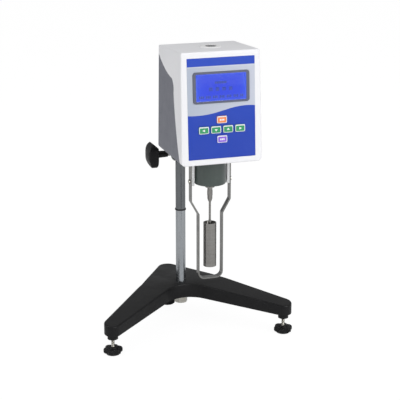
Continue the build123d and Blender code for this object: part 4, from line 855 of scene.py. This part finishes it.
def build_screen_marks():
    """Three dim rows of plain bars on the display."""
    outlines = row_of_bars(-8.0, 2.4, range(7), 6.6, 1.5, 3.0)
    for x in (-15.0, -5.6, 3.8, 13.2):
        outlines += row_of_bars(x, 1.7, (-1, 0, 1), -2.4, 0.9, 4.4)
        outlines += row_of_bars(x, 0.0, (0,), -0.4, 4.4, 0.7)
    words = [k for k in range(26) if k % 4 != 3]
    outlines += row_of_bars(-31.0, 2.45, words, -12.8, 1.2, 3.4)
    mesh = plate_mesh("screen_bars", outlines, screen_mark_foot, screen_mark_top)
    add_piece("screen_bars", mesh, "print dim", "carriage")


def build_strip_line():
    """Thin pale line under the panel's head strip."""
    mesh = plate_mesh("strip_line", [bar(0.0, line_place, line_width, line_height)], line_foot, line_top)
    add_piece("strip_line", mesh, "print silver", "carriage")


# Fine pieces elsewhere

foot_bodies = ("left", "right", "rear")


def foot_centre(name):
    """Middle of a foot's pad."""
    low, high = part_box("foot_pad_" + name)
    return ((low[0] + high[0]) / 2, (low[1] + high[1]) / 2)


def turned(centre, radius, height, angle):
    """Grid of points about an upright axis, from radii by row and column and heights that match them."""
    height = np.broadcast_to(height, radius.shape)
    x = centre[0] + radius * np.cos(angle)
    return np.stack([x, centre[1] + radius * np.sin(angle), height], axis=-1)


def build_foot_wheels():
    """Lobed hand wheels: a turned profile whose radius swells and narrows by a power of a cosine."""
    # Radius, height, and the share of the lobes at each point, in millimetres
    profile = np.array([
        (3.0, 2.3, 0.0), (8.6, 2.3, 0.2), (12.9, 2.4, 1.0), (14.0, 3.1, 1.0),
        (14.4, 4.2, 1.0), (14.4, 7.6, 1.0), (13.9, 8.9, 1.0), (12.6, 9.8, 0.9),
        (9.6, 10.1, 0.4), (8.4, 10.0, 0.1), (7.9, 9.5, 0.0), (7.3, 9.6, 0.0),
        (6.9, 10.9, 0.0), (6.2, 11.5, 0.0), (3.2, 11.6, 0.0), (2.6, 11.2, 0.0),
    ])
    columns = 120
    angle = np.arange(columns) * turn / columns
    valley = (0.5 - 0.5 * np.cos(wheel_lobes * angle)) ** valley_power
    radius = profile[:, :1] * (1 - valley_depth * profile[:, 2:] * valley) * mm
    for name in foot_bodies:
        centre = foot_centre(name)
        grid = turned(centre, radius, profile[:, 1:2] * mm, angle)
        mesh = grid_mesh("wheel_" + name, grid, (*centre, wheel_low), (*centre, wheel_high))
        wheel = add_piece("wheel_" + name, mesh, "black knob", "knob_" + name)
        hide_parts("foot_knob_" + name)


def build_foot_studs():
    """Threaded studs: the radius falls and rises with height less a turn's share of the pitch."""
    columns, rows = 24, 190
    angle = np.arange(columns) * turn / columns
    height = np.linspace(stud_low, stud_high, rows)[:, None]
    phase = height / stud_pitch - angle / turn
    radius = stud_radius - thread_depth * np.abs(2 * (phase - np.floor(phase)) - 1)
    for name in foot_bodies:
        centre = foot_centre(name)
        grid = turned(centre, radius, height, angle)
        mesh = grid_mesh("stud_" + name, grid, (*centre, stud_low), (*centre, stud_high))
        add_piece("stud_" + name, mesh, "nickel plate", "knob_" + name)


def build_knurl():
    """Knurled band on the coupling: a short turned band whose radius ripples round the turn."""
    columns = knurl_count * 4
    angle = np.arange(columns) * turn / columns
    ripple = 0.5 + 0.5 * np.cos(knurl_count * angle)
    # Radius, height, and the share of the ripple at each point, in millimetres
    profile = np.array([(3.62, 245.2, 0.0), (3.72, 245.5, 1.0), (3.72, 252.6, 1.0), (3.62, 252.9, 0.0)])
    radius = profile[:, :1] * mm + knurl_depth * profile[:, 2:] * ripple
    height = profile[:, 1:2] * mm
    grid = turned(spindle_axis, radius, height, angle)
    mesh = grid_mesh("knurl", grid, (*spindle_axis, height[0, 0]), (*spindle_axis, height[-1, 0]))
    add_piece("knurl", mesh, "turned steel", "measuring_shaft", 20.0)


def build_level_target():
    """Dark target ring on the spirit level's glass: a flat raised profile turned about its axis."""
    low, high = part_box("level_glass")
    columns = 64
    angle = np.arange(columns) * turn / columns
    radius = np.array([target_inner, target_inner, target_outer, target_outer])[:, None]
    height = high[2] + np.array([0.0, target_height, target_height, 0.0])[:, None]
    centre = ((low[0] + high[0]) / 2, (low[1] + high[1]) / 2)
    grid = turned(centre, radius * np.ones(columns), height, angle)
    add_piece("level_target", grid_mesh("level_target", grid), "black steel", "carriage")


build_key_marks()
build_screen_marks()
build_strip_line()
build_foot_wheels()
build_foot_studs()
build_knurl()
build_level_target()
dress_nodes()
build_stage()
